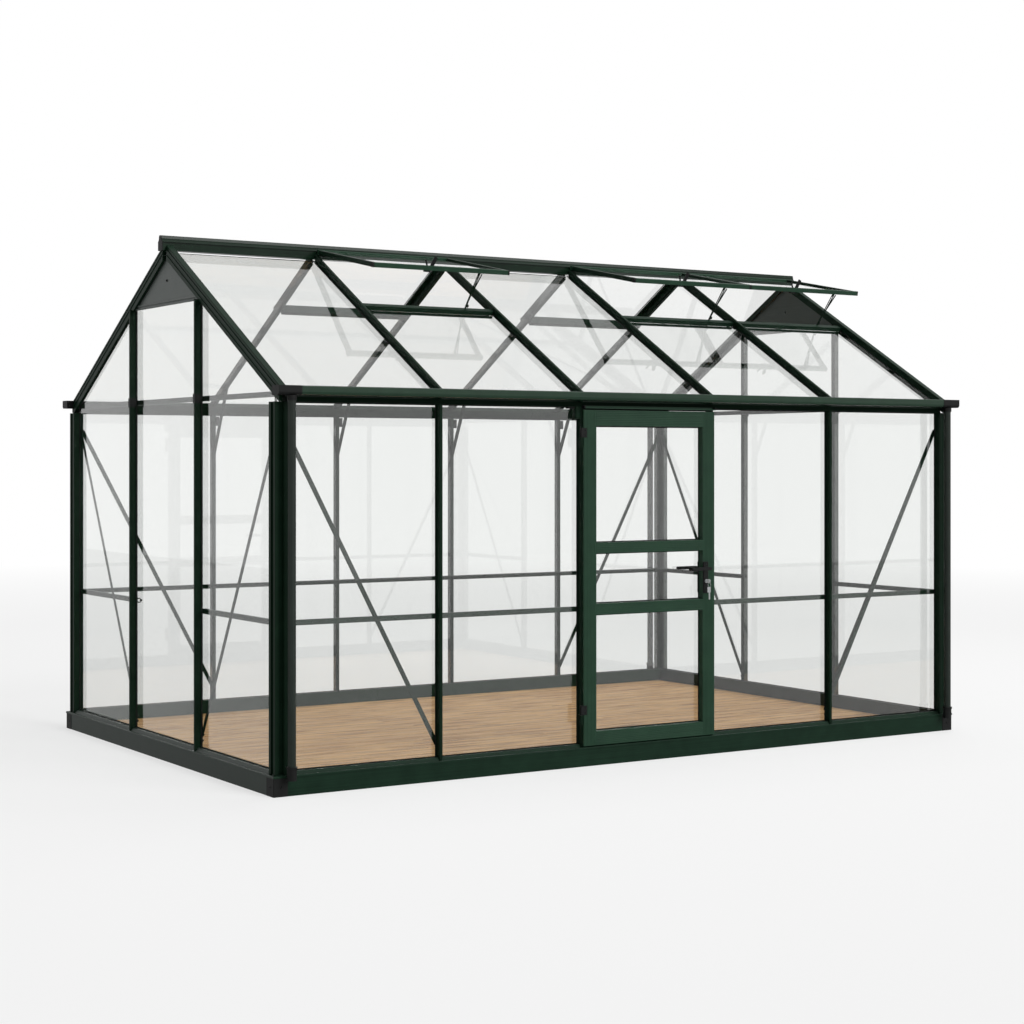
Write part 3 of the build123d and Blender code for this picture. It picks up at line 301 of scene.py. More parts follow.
# The gable base rails' tones are paler and greyer than the frame's green: painted light and
# reflection from the pale room
GREEN_GABLE_FOOT_PAINTED_LIGHT = powder_coat("powder_coated_aluminium_gable_foot_painted_light", "Y", "1c2721", "27332c", 0.2, SATIN)
# The gable plates' tones are paler and greyer than the frame's green: a painted reflection of the
# pane in front of them
GREEN_PLATE_PAINTED_REFLECTION = powder_coat("powder_coated_aluminium_sheet_painted_reflection", "Y", "373f3b", "414945", 0.3, SATIN)
GREEN_PIPE = powder_coat("powder_coated_aluminium_downpipe", "Z", "171e19", "252d28", 0.2, SATIN)
GREEN_UPRIGHT = powder_coat(
    "powder_coated_aluminium_door_upright", "Z", "1b3426", "24402f", 0.15, SATIN
)
GREEN_LEVEL = powder_coat(
    "powder_coated_aluminium_door_level", "X", "1b3426", "24402f", 0.15, SATIN
)
NYLON = black_plastic()
RUBBER = seal_rubber()
STEEL = brushed_steel("stainless_steel_brushed", "9fa1a2", "c4c6c6")
BLACK_STEEL = brushed_steel("blackened_steel", "1c1e1d", "343735")
WALL_GLASS = float_glass("clear_float_glass_walls", 1.65, "f6f7f6")
GABLE_GLASS = float_glass("clear_float_glass_gables", 1.52, "f6f7f6")
ROOF_GLASS = float_glass("clear_float_glass_roof", 1.34, "f2f3f2")
BOARDS = oiled_boards()

NODE_FINISHES = {
    GREEN_GUTTER: ("front_gutter", "back_gutter"),
    GREEN_RIDGE: ("ridge",),
    GREEN_BEAM_PAINTED_SHADE: ("eave_beams",),
    GREEN_GABLE_FOOT_PAINTED_LIGHT: ("gable_base_rails",),
    GREEN_PLATE_PAINTED_REFLECTION: ("gable_plates",),
    GREEN_ALONG["X"]: ("long_base_rails", "waist_rails", "roof_light_sills"),
    GREEN_ALONG["Y"]: (
        "gable_ties", "gable_rafters", "rafters", "roof_light_side_bars", "knee_braces",
        "roof_light_stays",
    ),
    GREEN_ALONG["Z"]: (
        "corner_posts", "front_glazing_bars", "back_glazing_bars", "gable_glazing_bars",
        "wall_braces", "frame_hinges",
    ),
    GREEN_PIPE: ("downpipes",),
    GREEN_UPRIGHT: ("door_stiles",),
    GREEN_LEVEL: ("door_rails", "door_drip_cap", "roof_light_end_bars"),
    NYLON: (
        "corner_blocks", "gutter_corner_pieces", "downpipe_shoes", "gable_bar_sleeves",
        "ridge_end_caps", "handle_plate", "inner_handle_plate", "door_lever", "inner_lever",
        "door_hinges",
    ),
    STEEL: ("lock_cylinder", "door_key"),
    WALL_GLASS: ("front_glass", "back_glass", "door_glass"),
    GABLE_GLASS: ("gable_glass",),
    ROOF_GLASS: ("roof_glass", "roof_light_glass"),
    BOARDS: ("wooden_floor",),
}
for material, names in NODE_FINISHES.items():
    for name in names:
        slots = nodes[name].data.materials
        slots.clear()
        slots.append(material)

# The house's sizes, in metres, as in the part
BAYS = 5
BAY = 0.735
HALF_LONG = 1.8875
HALF_WIDE = 1.1525
BASE_TOP = 0.096
EAVE = 1.591
SLOPE = radians(30.75)
ROOF_APEX = EAVE + 0.066 + HALF_WIDE * tan(SLOPE)
BAR_HALF = 0.008
BAR_DEPTH = 0.040
PANE_DEPTH = 0.0325
POST_LEG = 0.0575
RAFTER_DEPTH = 0.058
WAIST = 0.693
BAR_LINES = [(bar - BAYS / 2) * BAY for bar in range(1, BAYS)]
UP, FRONT = (0, 0, 1), (0, -1, 0)


def tree_with_inputs(name, inputs):
    """A Geometry Nodes tree with a geometry, named inputs and a material, and its input node."""
    tree = bpy.data.node_groups.new(name, "GeometryNodeTree")
    tree.interface.new_socket("Geometry", in_out="INPUT", socket_type="NodeSocketGeometry")
    tree.interface.new_socket("Geometry", in_out="OUTPUT", socket_type="NodeSocketGeometry")
    for label in inputs:
        tree.interface.new_socket(label, in_out="INPUT", socket_type="NodeSocketFloat")
    tree.interface.new_socket("Material", in_out="INPUT", socket_type="NodeSocketMaterial")
    return tree, add(tree, "NodeGroupInput")


def on_points(tree, start, piece, scale=(1.0, 1.0, 1.0)):
    """End a tree: the piece on every point, turned as the point says, as real geometry."""
    turn = add(tree, "GeometryNodeInputNamedAttribute", {"Name": "turn"}, data_type="FLOAT_VECTOR")
    turned = add(tree, "FunctionNodeEulerToRotation", {0: turn})
    placed = add(
        tree,
        "GeometryNodeInstanceOnPoints",
        {
            "Points": start.outputs["Geometry"],
            "Instance": piece,
            "Rotation": turned,
            "Scale": scale,
        },
    )
    real = add(tree, "GeometryNodeRealizeInstances", {"Geometry": placed})
    coated = add(
        tree, "GeometryNodeSetMaterial", {"Geometry": real, "Material": start.outputs["Material"]}
    )
    add(tree, "NodeGroupOutput", {"Geometry": coated})
    return tree


def strips_tree():
    """A strip with rounded long edges on every point, as long and as turned as the point says."""
    tree, start = tree_with_inputs("strips_on_points", ("Width", "Height", "Radius"))
    section = add(
        tree,
        "GeometryNodeCurvePrimitiveQuadrilateral",
        {"Width": start.outputs["Width"], "Height": start.outputs["Height"]},
    )
    rounded = add(
        tree,
        "GeometryNodeFilletCurve",
        {"Curve": section, "Radius": start.outputs["Radius"], "Count": 2},
        mode="POLY",
    )
    line = add(tree, "GeometryNodeCurvePrimitiveLine", {"Start": (-0.5, 0, 0), "End": (0.5, 0, 0)})
    strip = add(
        tree,
        "GeometryNodeCurveToMesh",
        {"Curve": line, "Profile Curve": rounded, "Fill Caps": True},
    )
    length = add(tree, "GeometryNodeInputNamedAttribute", {"Name": "length"}, data_type="FLOAT")
    stretch = add(tree, "ShaderNodeCombineXYZ", {0: length, 1: 1.0, 2: 1.0})
    return on_points(tree, start, strip, stretch)


def nuts_tree():
    """A washer, a hexagon nut and the bolt's end on every point, standing along its turn's Z."""
    tree, start = tree_with_inputs("nuts_on_points", ("Radius",))
    joined = add(tree, "GeometryNodeJoinGeometry")
    washer, nut, bolt = (20, 1.3, 0.0012), (6, 1.0, 0.0055), (12, 0.5, 0.0085)
    for sides, share, height in (washer, nut, bolt):
        radius = add(
            tree, "ShaderNodeMath", {0: start.outputs["Radius"], 1: share}, operation="MULTIPLY"
        )
        drum = add(
            tree,
            "GeometryNodeMeshCylinder",
            {"Vertices": sides, "Radius": radius, "Depth": height},
        )
        raised = add(
            tree, "GeometryNodeTransform", {"Geometry": drum, "Translation": (0.0, 0.0, height / 2)}
        )
        tree.links.new(raised.outputs[0], joined.inputs[0])
    return on_points(tree, start, joined)


def screws_tree():
    """A pan head with a hexagon socket on every point, standing along its turn's Z."""
    tree, start = tree_with_inputs("screws_on_points", ("Radius",))
    sizes = {}
    for label, share in (("crown", 0.68), ("height", 0.55), ("socket", 0.4)):
        sizes[label] = add(
            tree, "ShaderNodeMath", {0: start.outputs["Radius"], 1: share}, operation="MULTIPLY"
        )
    head = add(
        tree,
        "GeometryNodeMeshCone",
        {
            "Vertices": 18,
            "Radius Top": sizes["crown"],
            "Radius Bottom": start.outputs["Radius"],
            "Depth": sizes["height"],
        },
    )
    key = add(
        tree,
        "GeometryNodeMeshCylinder",
        {"Vertices": 6, "Radius": sizes["socket"], "Depth": sizes["height"]},
    )
    raise_by = add(tree, "ShaderNodeCombineXYZ", {0: 0.0, 1: 0.0, 2: sizes["socket"]})
    raised = add(tree, "GeometryNodeTransform", {"Geometry": key, "Translation": raise_by})
    cut = add(tree, "GeometryNodeMeshBoolean", {0: head, 1: raised}, operation="DIFFERENCE")
    return on_points(tree, start, cut)


STRIPS, NUTS, SCREWS = strips_tree(), nuts_tree(), screws_tree()


def new_piece(name, data):
    """An object in the scene that holds a mesh or a curve."""
    piece = bpy.data.objects.new(name, data)
    bpy.context.scene.collection.objects.link(piece)
    return piece


def point_cloud(name, places, attributes):
    """A mesh of loose points that carry named attributes: name -> (type, values)."""
    mesh = bpy.data.meshes.new(name)
    mesh.from_pydata(places, [], [])
    for label, (kind, values) in attributes.items():
        layer = mesh.attributes.new(label, kind, "POINT")
        field = "vector" if kind == "FLOAT_VECTOR" else "value"
        for index, value in enumerate(values):
            setattr(layer.data[index], field, value)
    return new_piece(name, mesh)


def grown(piece, tree, inputs):
    """Run a tree on a piece and keep its result as the piece's plain mesh."""
    modifier = piece.modifiers.new(tree.name, "NODES")
    modifier.node_group = tree
    names = {i.name: i.identifier for i in tree.interface.items_tree if i.in_out == "INPUT"}
    for label, value in inputs.items():
        modifier[names[label]] = value
    evaluated = piece.evaluated_get(bpy.context.evaluated_depsgraph_get())
    mesh = bpy.data.meshes.new_from_object(evaluated)
    piece.modifiers.remove(modifier)
    piece.data = mesh


def strips(name, rows, size, radius, material, body, tones=None):
    """Strips from start to end, each row also giving the way its height points.

    The size is the strip's width and height, and the radius rounds its long edges.
    """
    places, lengths, turns = [], [], []
    for start, end, out in rows:
        start, end, out = Vector(start), Vector(end), Vector(out)
        along = (end - start).normalized()
        up = (out - out.dot(along) * along).normalized()
        places.append((start + end) / 2)
        lengths.append((end - start).length)
        turns.append(Matrix((along, up.cross(along), up)).transposed().to_euler("XYZ"))
    attributes = {"length": ("FLOAT", lengths), "turn": ("FLOAT_VECTOR", turns)}
    if tones:
        attributes["board_tone"] = ("FLOAT", tones)
    piece = point_cloud(name, places, attributes)
    width, height = size
    grown(
        piece, STRIPS, {"Width": width, "Height": height, "Radius": radius, "Material": material}
    )
    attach(piece, body)
    return piece


def heads(name, rows, tree, radius, material, body):
    """Bolt or screw heads: each row is a place and the direction that the head faces."""
    places = [place for place, out in rows]
    turns = [Vector(out).to_track_quat("Z", "Y").to_euler("XYZ") for place, out in rows]
    piece = point_cloud(name, places, {"turn": ("FLOAT_VECTOR", turns)})
    grown(piece, tree, {"Radius": radius, "Material": material})
    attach(piece, body)


def bent_wire(name, lines, thickness, material, body):
    """Round wire bent along each line of points. A line that ends where it starts is closed."""
    curve = bpy.data.curves.new(name, "CURVE")
    curve.dimensions = "3D"
    curve.bevel_depth = thickness / 2
    curve.bevel_resolution = 3
    curve.use_fill_caps = True
    for line in lines:
        closed = line[0] == line[-1]
        points = line[:-1] if closed else line
        spline = curve.splines.new("NURBS")
        spline.points.add(len(points) - 1)
        for point, place in zip(spline.points, points):
            point.co = (*place, 1.0)
        spline.order_u = 3
        spline.use_endpoint_u = not closed
        spline.use_cyclic_u = closed
    bent = new_piece(name, curve)
    evaluated = bent.evaluated_get(bpy.context.evaluated_depsgraph_get())
    mesh = bpy.data.meshes.new_from_object(evaluated)
    bpy.data.objects.remove(bent)
    mesh.materials.append(material)
    piece = new_piece(name, mesh)
    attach(piece, body)


def roof_point(x, side, along, depth):
    """A point on the front (-1) or back (1) slope: so far down it, and in from its outer face."""
    across = along * cos(SLOPE) - depth * sin(SLOPE)
    return Vector((x, side * across, ROOF_APEX - along * sin(SLOPE) - depth * cos(SLOPE)))


def roof_out(side):
    """The outward direction of the front (-1) or back (1) slope."""
    return Vector((0.0, side * sin(SLOPE), cos(SLOPE)))


# Wooden floor: boards along the house in staggered lengths, each with its own tone, on bearers
FLOOR_TOP = 0.030
FLOOR_THICKNESS = 0.022
FLOOR_END = 1.8365
FLOOR_SIDE = 1.1015
POST_NOTCH = 0.008
BOARD_COUNT = 20
BOARD_GAP = 0.0025
JOINT_GAP = 0.0012
BEARER = (0.045, 0.008)
BEARER_LINES = (-1.8, -0.9, 0.0, 0.9, 1.8)
BEARER_TONE = 0.8
rng = random.Random(11)
board_pitch = 2 * FLOOR_SIDE / BOARD_COUNT
board_level = FLOOR_TOP - FLOOR_THICKNESS / 2
board_rows, board_tones = [], []
for row in range(BOARD_COUNT):
    y = -FLOOR_SIDE + (row + 0.5) * board_pitch
    end = FLOOR_END - (POST_NOTCH if row in (0, BOARD_COUNT - 1) else 0.0)
    joints = [-end, rng.uniform(-0.6, 0.6), end]
    if row % 2:
        joints = [-end, rng.uniform(-1.3, -0.3), rng.uniform(0.3, 1.3), end]
    for first, last in zip(joints, joints[1:]):
        board_rows.append(
            ((first + JOINT_GAP, y, board_level), (last - JOINT_GAP, y, board_level), UP)
        )
        board_tones.append(rng.random())
board = (board_pitch - BOARD_GAP, FLOOR_THICKNESS)
boards = strips(
    "floor_boards", board_rows, board, 0.0015, BOARDS, "frame", board_tones
)
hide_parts("wooden_floor")
bearer_level = BEARER[1] / 2
bearer_rows = [
    ((x, -FLOOR_SIDE, bearer_level), (x, FLOOR_SIDE, bearer_level), UP) for x in BEARER_LINES
]
tones = [BEARER_TONE] * len(BEARER_LINES)
strips("floor_bearers", bearer_rows, BEARER, 0.001, BOARDS, "frame", tones)

# Glazing seals: a rubber strip along the edges of every fixed pane, on its outer face
SEAL = (0.0045, 0.0035)
SEAL_ROUNDING = 0.0012
DOOR_BAY = 2
seal_depth = PANE_DEPTH - SEAL[1] / 2
inset = SEAL[0] / 2


def seal_loop(face, left, right, low, head, out):
    """Seals round a pane that faces out: its sides, its foot, and head(across) for its top.

    The face is where the seals lie along the way that the pane faces.
    """
    a, b = left + inset, right - inset
    tops = [a, 0.0, b] if a < 0 < b and head(0.0) > head(a) else [a, b]
    flat = [(b, low), (a, low), *[(t, head(t)) for t in tops], (b, low)]
    corners = [(face, t, z) if out[0] else (t, face, z) for t, z in flat]
    return [(start, end, out) for start, end in zip(corners, corners[1:])]


def gable_head(across):
    """Height of the seals along the gable rafters' underside."""
    return ROOF_APEX - abs(across) * tan(SLOPE) - (RAFTER_DEPTH + inset) / cos(SLOPE)


seal_rows = []
seal_foot = BASE_TOP + inset
for side in (-1, 1):
    face = side * (HALF_WIDE - seal_depth)
    for bay in range(BAYS):
        if side == -1 and bay == DOOR_BAY:
            continue
        left = BAR_LINES[bay - 1] + BAR_HALF if bay else -HALF_LONG + POST_LEG
        right = BAR_LINES[bay] - BAR_HALF if bay < BAYS - 1 else HALF_LONG - POST_LEG
        seal_rows += seal_loop(
            face, left, right, seal_foot, lambda across: EAVE - inset, (0, side, 0)
        )
gable_edges = [-HALF_WIDE + POST_LEG, -BAY / 2, BAY / 2, HALF_WIDE - POST_LEG]
for end in (-1, 1):
    face = end * (HALF_LONG - seal_depth)
    for number in range(3):
        left = gable_edges[number] + (BAR_HALF if number else 0.0)
        right = gable_edges[number + 1] - (BAR_HALF if number < 2 else 0.0)
        seal_rows += seal_loop(face, left, right, seal_foot, gable_head, (end, 0, 0))
LIT_BAYS = {-1: (1, 3, 4), 1: (1, 3)}
LIGHT_LENGTH = {-1: 0.556, 1: 0.470}
LIGHT_PAST_SILL = 0.030
RIDGE_TO_PANE = 0.034
PANE_TO_GUTTER = 0.012
pane_foot = HALF_WIDE / cos(SLOPE) - PANE_DEPTH * tan(SLOPE) - PANE_TO_GUTTER
for side in (-1, 1):
    for bay in range(BAYS):
        left = (bay - BAYS / 2) * BAY + (BAR_HALF if bay else 0.0) + inset
        right = (bay + 1 - BAYS / 2) * BAY - (BAR_HALF if bay < BAYS - 1 else 0.0) - inset
        start = RIDGE_TO_PANE
        if bay in LIT_BAYS[side]:
            start = LIGHT_LENGTH[side] - LIGHT_PAST_SILL
        for x in (left, right):
            seal_rows.append((
                roof_point(x, side, start, seal_depth),
                roof_point(x, side, pane_foot, seal_depth),
                roof_out(side),
            ))
strips("glazing_seals", seal_rows, SEAL, SEAL_ROUNDING, RUBBER, "frame")

# Door: fine ribs pressed in its uprights and rails, and seals round its panes
DOOR_HALF = 0.371
DOOR_FACE = -1.1655
DOOR_PANE_FACE = -1.1345
DOOR_STILE = 0.069
DOOR_BOTTOM = 0.090
DOOR_TOP = 1.577
RAILS = ((DOOR_BOTTOM, 0.062), (0.667, 0.050), (0.940, 0.048), (1.506, 0.071))
RIB_PITCH = 0.0075
RIB_PROUD = 0.0003
RIB = (0.0042, 0.0012)
RIB_ROUNDING = 0.0004
STILE_RIBS = 8
STILE_RIB_SHORT = 0.004
rib_level = DOOR_FACE - RIB[1] / 2 + RIB_PROUD
rib_foot, rib_head = DOOR_BOTTOM + STILE_RIB_SHORT, DOOR_TOP - STILE_RIB_SHORT
upright_rows, level_rows = [], []
for side in (-1, 1):
    for rib in range(1, STILE_RIBS + 1):
        x = side * (DOOR_HALF - rib * RIB_PITCH)
        upright_rows.append(((x, rib_level, rib_foot), (x, rib_level, rib_head), FRONT))
door_inner = DOOR_HALF - DOOR_STILE
for low, height in RAILS:
    ribs = int(height / RIB_PITCH)
    for rib in range(ribs):
        z = low + (rib + 0.5) * height / ribs
        level_rows.append(((-door_inner, rib_level, z), (door_inner, rib_level, z), FRONT))
for name, rows, material in (
    ("door_upright_ribs", upright_rows, GREEN_UPRIGHT),
    ("door_level_ribs", level_rows, GREEN_LEVEL),
):
    strips(name, rows, RIB, RIB_ROUNDING, material, "door")
door_seal_rows = []
door_seal_level = DOOR_PANE_FACE - SEAL[1] / 2
for (low, height), (next_low, _) in zip(RAILS, RAILS[1:]):
    door_seal_rows += seal_loop(
        door_seal_level,
        -door_inner,
        door_inner,
        low + height + inset,
        lambda across, level=next_low - inset: level,
        FRONT,
    )
strips("door_seals", door_seal_rows, SEAL, SEAL_ROUNDING, RUBBER, "door")

# Door screws, in the handle plates and in the door's leaves of the hinges
PLATE_X = 0.316
PLATE_FACES = {-1: -1.1715, 1: -1.1225}
PLATE_SCREW_LEVELS = (0.752, 0.879)
HINGE_X = -0.3615
HINGE_FACE = -1.1685
HINGE_FEET = (0.186, 1.412)
HINGE_SCREW_RISES = (0.052, 0.075)
door_screws = [
    ((PLATE_X, face, z), (0, side, 0))
    for side, face in PLATE_FACES.items()
    for z in PLATE_SCREW_LEVELS
]
door_screws += [
    ((HINGE_X, HINGE_FACE, foot + rise), FRONT)
    for foot in HINGE_FEET
    for rise in HINGE_SCREW_RISES
]
heads("door_screws", door_screws, SCREWS, 0.0036, BLACK_STEEL, "door")

# The ring through the key's bow, and the second key that hangs from it, a little to the left
RING_Y, RING_Z = -1.1955, 0.7835
RING_DEPTH, RING_HEIGHT = 0.010, 0.012
SECOND_KEY_Y = -1.198
BOW_LEFT, BOW_LEVELS, BOW = 0.004, (0.748, 0.773), (0.019, 0.0022)
BLADE_LEFT, BLADE_LEVELS, BLADE = 0.002, (0.716, 0.752), (0.008, 0.0018)
ring = [
    (PLATE_X, RING_Y - RING_DEPTH * cos(radians(a)), RING_Z + RING_HEIGHT * sin(radians(a)))
    for a in range(0, 360, 30)
]
bent_wire("key_ring", [ring + ring[:1]], 0.0014, STEEL, "door")
bow_row, blade_row = (
    (*[(PLATE_X - left, SECOND_KEY_Y, z) for z in levels], FRONT)
    for left, levels in ((BOW_LEFT, BOW_LEVELS), (BLADE_LEFT, BLADE_LEVELS))
)
strips("second_key_bow", [bow_row], BOW, 0.001, STEEL, "door")
strips("second_key_blade", [blade_row], BLADE, 0.0006, STEEL, "door")

# Nuts on the bars' inner faces, where rails, braces and ties are bolted on
RAIL_FACE = 0.058
BRACE_FACE = 0.043
BRACE_HEAD_IN, BRACE_HEAD_LEVEL = 0.055, 1.500
BRACE_FOOT_IN, BRACE_FOOT_LEVEL = 0.050, 0.150
FOOT_NUT_RISE = 0.030
foot_level = BASE_TOP + FOOT_NUT_RISE
nut_rows = []
for side in (-1, 1):
    inward = (0, -side, 0)
    wall_face = side * (HALF_WIDE - BRACE_FACE)
    for x in BAR_LINES:
        nut_rows.append(((x, side * (HALF_WIDE - RAIL_FACE), WAIST), inward))
        nut_rows.append(((x, side * (HALF_WIDE - BAR_DEPTH), foot_level), inward))
    for end in (-1, 1):
        head_x = end * (HALF_LONG - BRACE_HEAD_IN)
        foot_x = end * (HALF_LONG - BRACE_FOOT_IN - BAY)
        nut_rows.append(((head_x, wall_face, BRACE_HEAD_LEVEL), inward))
        nut_rows.append(((foot_x, wall_face, BRACE_FOOT_LEVEL), inward))
        along = (-end, 0, 0)
        gable_face = end * (HALF_LONG - BRACE_FACE)
        head_y = side * (HALF_WIDE - BRACE_HEAD_IN)
        foot_y = side * (HALF_WIDE - BRACE_FOOT_IN - BAY)
        nut_rows.append(((end * (HALF_LONG - RAIL_FACE), side * BAY / 2, WAIST), along))
        nut_rows.append(((end * (HALF_LONG - BAR_DEPTH), side * BAY / 2, foot_level), along))
        nut_rows.append(((gable_face, head_y, BRACE_HEAD_LEVEL), along))
        nut_rows.append(((gable_face, foot_y, BRACE_FOOT_LEVEL), along))
heads("frame_nuts", nut_rows, NUTS, 0.0058, BLACK_STEEL, "frame")

# Screws on the outside: the rafters' feet and heads, and two in each corner block
RAFTER_SCREWS = (0.075, 1.312)
BLOCK_LEVEL = 0.038
BLOCK_SIDE, BLOCK_SIDE_SCREW = 1.166, 1.866
BLOCK_END, BLOCK_END_SCREW = 1.901, 1.131
screw_rows = []
for side in (-1, 1):
    for x in BAR_LINES:
        for along in RAFTER_SCREWS:
            screw_rows.append((roof_point(x, side, along, 0.0), roof_out(side)))
    for end in (-1, 1):
        screw_rows.append(((end * BLOCK_SIDE_SCREW, side * BLOCK_SIDE, BLOCK_LEVEL), (0, side, 0)))
        screw_rows.append(((end * BLOCK_END, side * BLOCK_END_SCREW, BLOCK_LEVEL), (end, 0, 0)))
heads("frame_screws", screw_rows, SCREWS, 0.0042, BLACK_STEEL, "frame")

# Roof panes: the CAD's panes, with their heads carried up under the ridge's skirt
HEAD_LEVEL = 2.27
HEAD_RISE = 0.032
MERGE_WITHIN = 0.00005
pane_mesh = nodes["roof_glass"].data.copy()
panes = bmesh.new()
panes.from_mesh(pane_mesh)
bmesh.ops.remove_doubles(panes, verts=panes.verts, dist=MERGE_WITHIN)
for vertex in panes.verts:
    if vertex.co.z > HEAD_LEVEL:
        side = 1 if vertex.co.y > 0 else -1
        vertex.co += Vector((0.0, -side * HEAD_RISE * cos(SLOPE), HEAD_RISE * sin(SLOPE)))
panes.to_mesh(pane_mesh)
panes.free()
roof_panes = new_piece("roof_panes", pane_mesh)
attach(roof_panes, "frame")
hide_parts("roof_glass")

# Gable plates: a sheet over the pane's head at each end, with two folded lips and a plug.
# A lip is given by its height above the sheet's foot and by how far it stops short of its sides
PLATE_FOOT = 2.057
PLATE_OUT = 1.8552
PLATE_THICKNESS = 0.0015
PLATE_GAP = 0.0005
LIP = (0.008, 0.005)
LIP_ROUNDING = 0.0015
LIP_OUT = 0.0035
LIPS = ((0.004, 0.001), (0.018, 0.026))
PLUG_LEVEL = 2.1707
plate_top = ROOF_APEX - RAFTER_DEPTH / cos(SLOPE)
plate_half = BAY / 2 - BAR_HALF - PLATE_GAP
shoulder = plate_top - plate_half * tan(SLOPE)
outline = [
    (-plate_half, PLATE_FOOT),
    (plate_half, PLATE_FOOT),
    (plate_half, shoulder),
    (0.0, plate_top),
    (-plate_half, shoulder),
]
count = len(outline)
sheet_mesh = bpy.data.meshes.new("gable_plate_sheets")
corners, faces, lip_rows, plug_rows = [], [], [], []
for end in (-1, 1):
    first = len(corners)
    for x in (PLATE_OUT, PLATE_OUT + PLATE_THICKNESS):
        corners += [(end * x, end * y, z) for y, z in outline]
    faces.append([first + corner for corner in reversed(range(count))])
    faces.append([first + count + corner for corner in range(count)])
    for corner in range(count):
        following = (corner + 1) % count
        faces.append([first + c for c in (corner, following, following + count, corner + count)])
    for rise, short in LIPS:
        x, half, z = end * (PLATE_OUT + LIP_OUT), plate_half - short, PLATE_FOOT + rise
        lip_rows.append(((x, -half, z), (x, half, z), (end, 0, 0)))
    plug_rows.append(((end * (PLATE_OUT + PLATE_THICKNESS), 0.0, PLUG_LEVEL), (end, 0, 0)))
sheet_mesh.from_pydata(corners, [], faces)
sheet_mesh.materials.append(GREEN_PLATE_PAINTED_REFLECTION)
sheets = new_piece("gable_plate_sheets", sheet_mesh)
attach(sheets, "frame")
strips(
    "gable_plate_lips", lip_rows, LIP, LIP_ROUNDING, GREEN_PLATE_PAINTED_REFLECTION, "frame"
)
heads("gable_plate_plugs", plug_rows, SCREWS, 0.0065, RUBBER, "frame")

# Open roof lights: a bent handle on the foot bar, a lug under it, black caps at the bar's ends,
# and the stay's slotted strip and knob. A leg of the handle is given by the x of its start and
# end beside the handle's place, and by its rise; the stay's places count x from the light's middle
OPEN_SLOPE = radians(11.25)
LIGHT_HINGE_Y, LIGHT_HINGE_Z = -0.0268, 2.3512
LIGHT_REACH = 0.546
LIGHT_HALF = 0.3645
HANDLE_LEFT = 0.065
HANDLE_BELOW = 0.003
CATCH_LEG, LEVER_LEG = (-0.014, -0.025, 0.027), (0.010, 0.030, 0.040)
LUG_LEFT, LUG_BELOW, LUG_HALF = 0.012, 0.026, 0.016
CAP_BELOW, CAP_HALF = 0.011, 0.0035
STAY_X, STAY_KNOB = 0.2155, (-0.440, 2.0800)
STAY_ENDS = ((0.2205, -0.5600, 2.2185), (0.2115, -0.4960, 2.1436))
light_foot_y = LIGHT_HINGE_Y - LIGHT_REACH * cos(OPEN_SLOPE)
light_foot_z = LIGHT_HINGE_Z - LIGHT_REACH * sin(OPEN_SLOPE)
open_out = Vector((0.0, -sin(OPEN_SLOPE), cos(OPEN_SLOPE)))
open_down = Vector((0.0, -cos(OPEN_SLOPE), -sin(OPEN_SLOPE)))
half_lug, half_cap = Vector((LUG_HALF, 0, 0)), Vector((CAP_HALF, 0, 0))
catch_rows, lever_rows, cap_rows, lug_rows, knob_rows, stay_rows = [], [], [], [], [], []
for bay in LIT_BAYS[-1]:
    middle = (bay - DOOR_BAY) * BAY
    foot = Vector((middle - HANDLE_LEFT, light_foot_y, light_foot_z))
    for rows, (near, far, up) in ((catch_rows, CATCH_LEG), (lever_rows, LEVER_LEG)):
        start = foot + Vector((near, 0.0, 0.0)) - open_out * HANDLE_BELOW
        rows.append((start, foot + Vector((far, 0.0, 0.0)) + open_out * up, open_down))
    lug = foot + Vector((-LUG_LEFT, 0.0, 0.0)) - open_out * LUG_BELOW
    lug_rows.append((lug - half_lug, lug + half_lug, open_out))
    for side in (-1, 1):
        edge = Vector((middle + side * LIGHT_HALF, light_foot_y, light_foot_z))
        edge -= open_out * CAP_BELOW
        cap_rows.append((edge - half_cap, edge + half_cap, open_out))
    knob_rows.append(((middle + STAY_X, *STAY_KNOB), (1, 0, 0)))
    stay_rows.append((*[(middle + x, y, z) for x, y, z in STAY_ENDS], (1, 0, 0)))
for name, rows, size, radius in (
    ("roof_light_catches", catch_rows, (0.007, 0.006), 0.0015),
    ("roof_light_levers", lever_rows, (0.018, 0.007), 0.002),
    ("roof_light_bar_caps", cap_rows, (0.021, 0.023), 0.002),
    ("roof_light_catch_lugs", lug_rows, (0.014, 0.008), 0.002),
):
    strips(name, rows, size, radius, NYLON, "frame")
strips(
    "roof_light_stay_strips", stay_rows, (0.006, 0.003), 0.0008, GREEN_ALONG["Y"], "frame",
)
heads("roof_light_stay_knobs", knob_rows, SCREWS, 0.009, NYLON, "frame")

# Hooks beside the back bars' heads
HOOK = (0.022, 0.014)
HOOK_LEVELS = (1.535, 1.583)
HOOK_IN = 0.004
hook_y = HALF_WIDE - BAR_DEPTH + HOOK_IN
hook_rows = []
for x in BAR_LINES:
    hook_x = x + BAR_HALF + HOOK[0] / 2
    hook_rows.append((*[(hook_x, hook_y, z) for z in HOOK_LEVELS], FRONT))
strips("back_bar_hooks", hook_rows, HOOK, 0.006, NYLON, "frame")

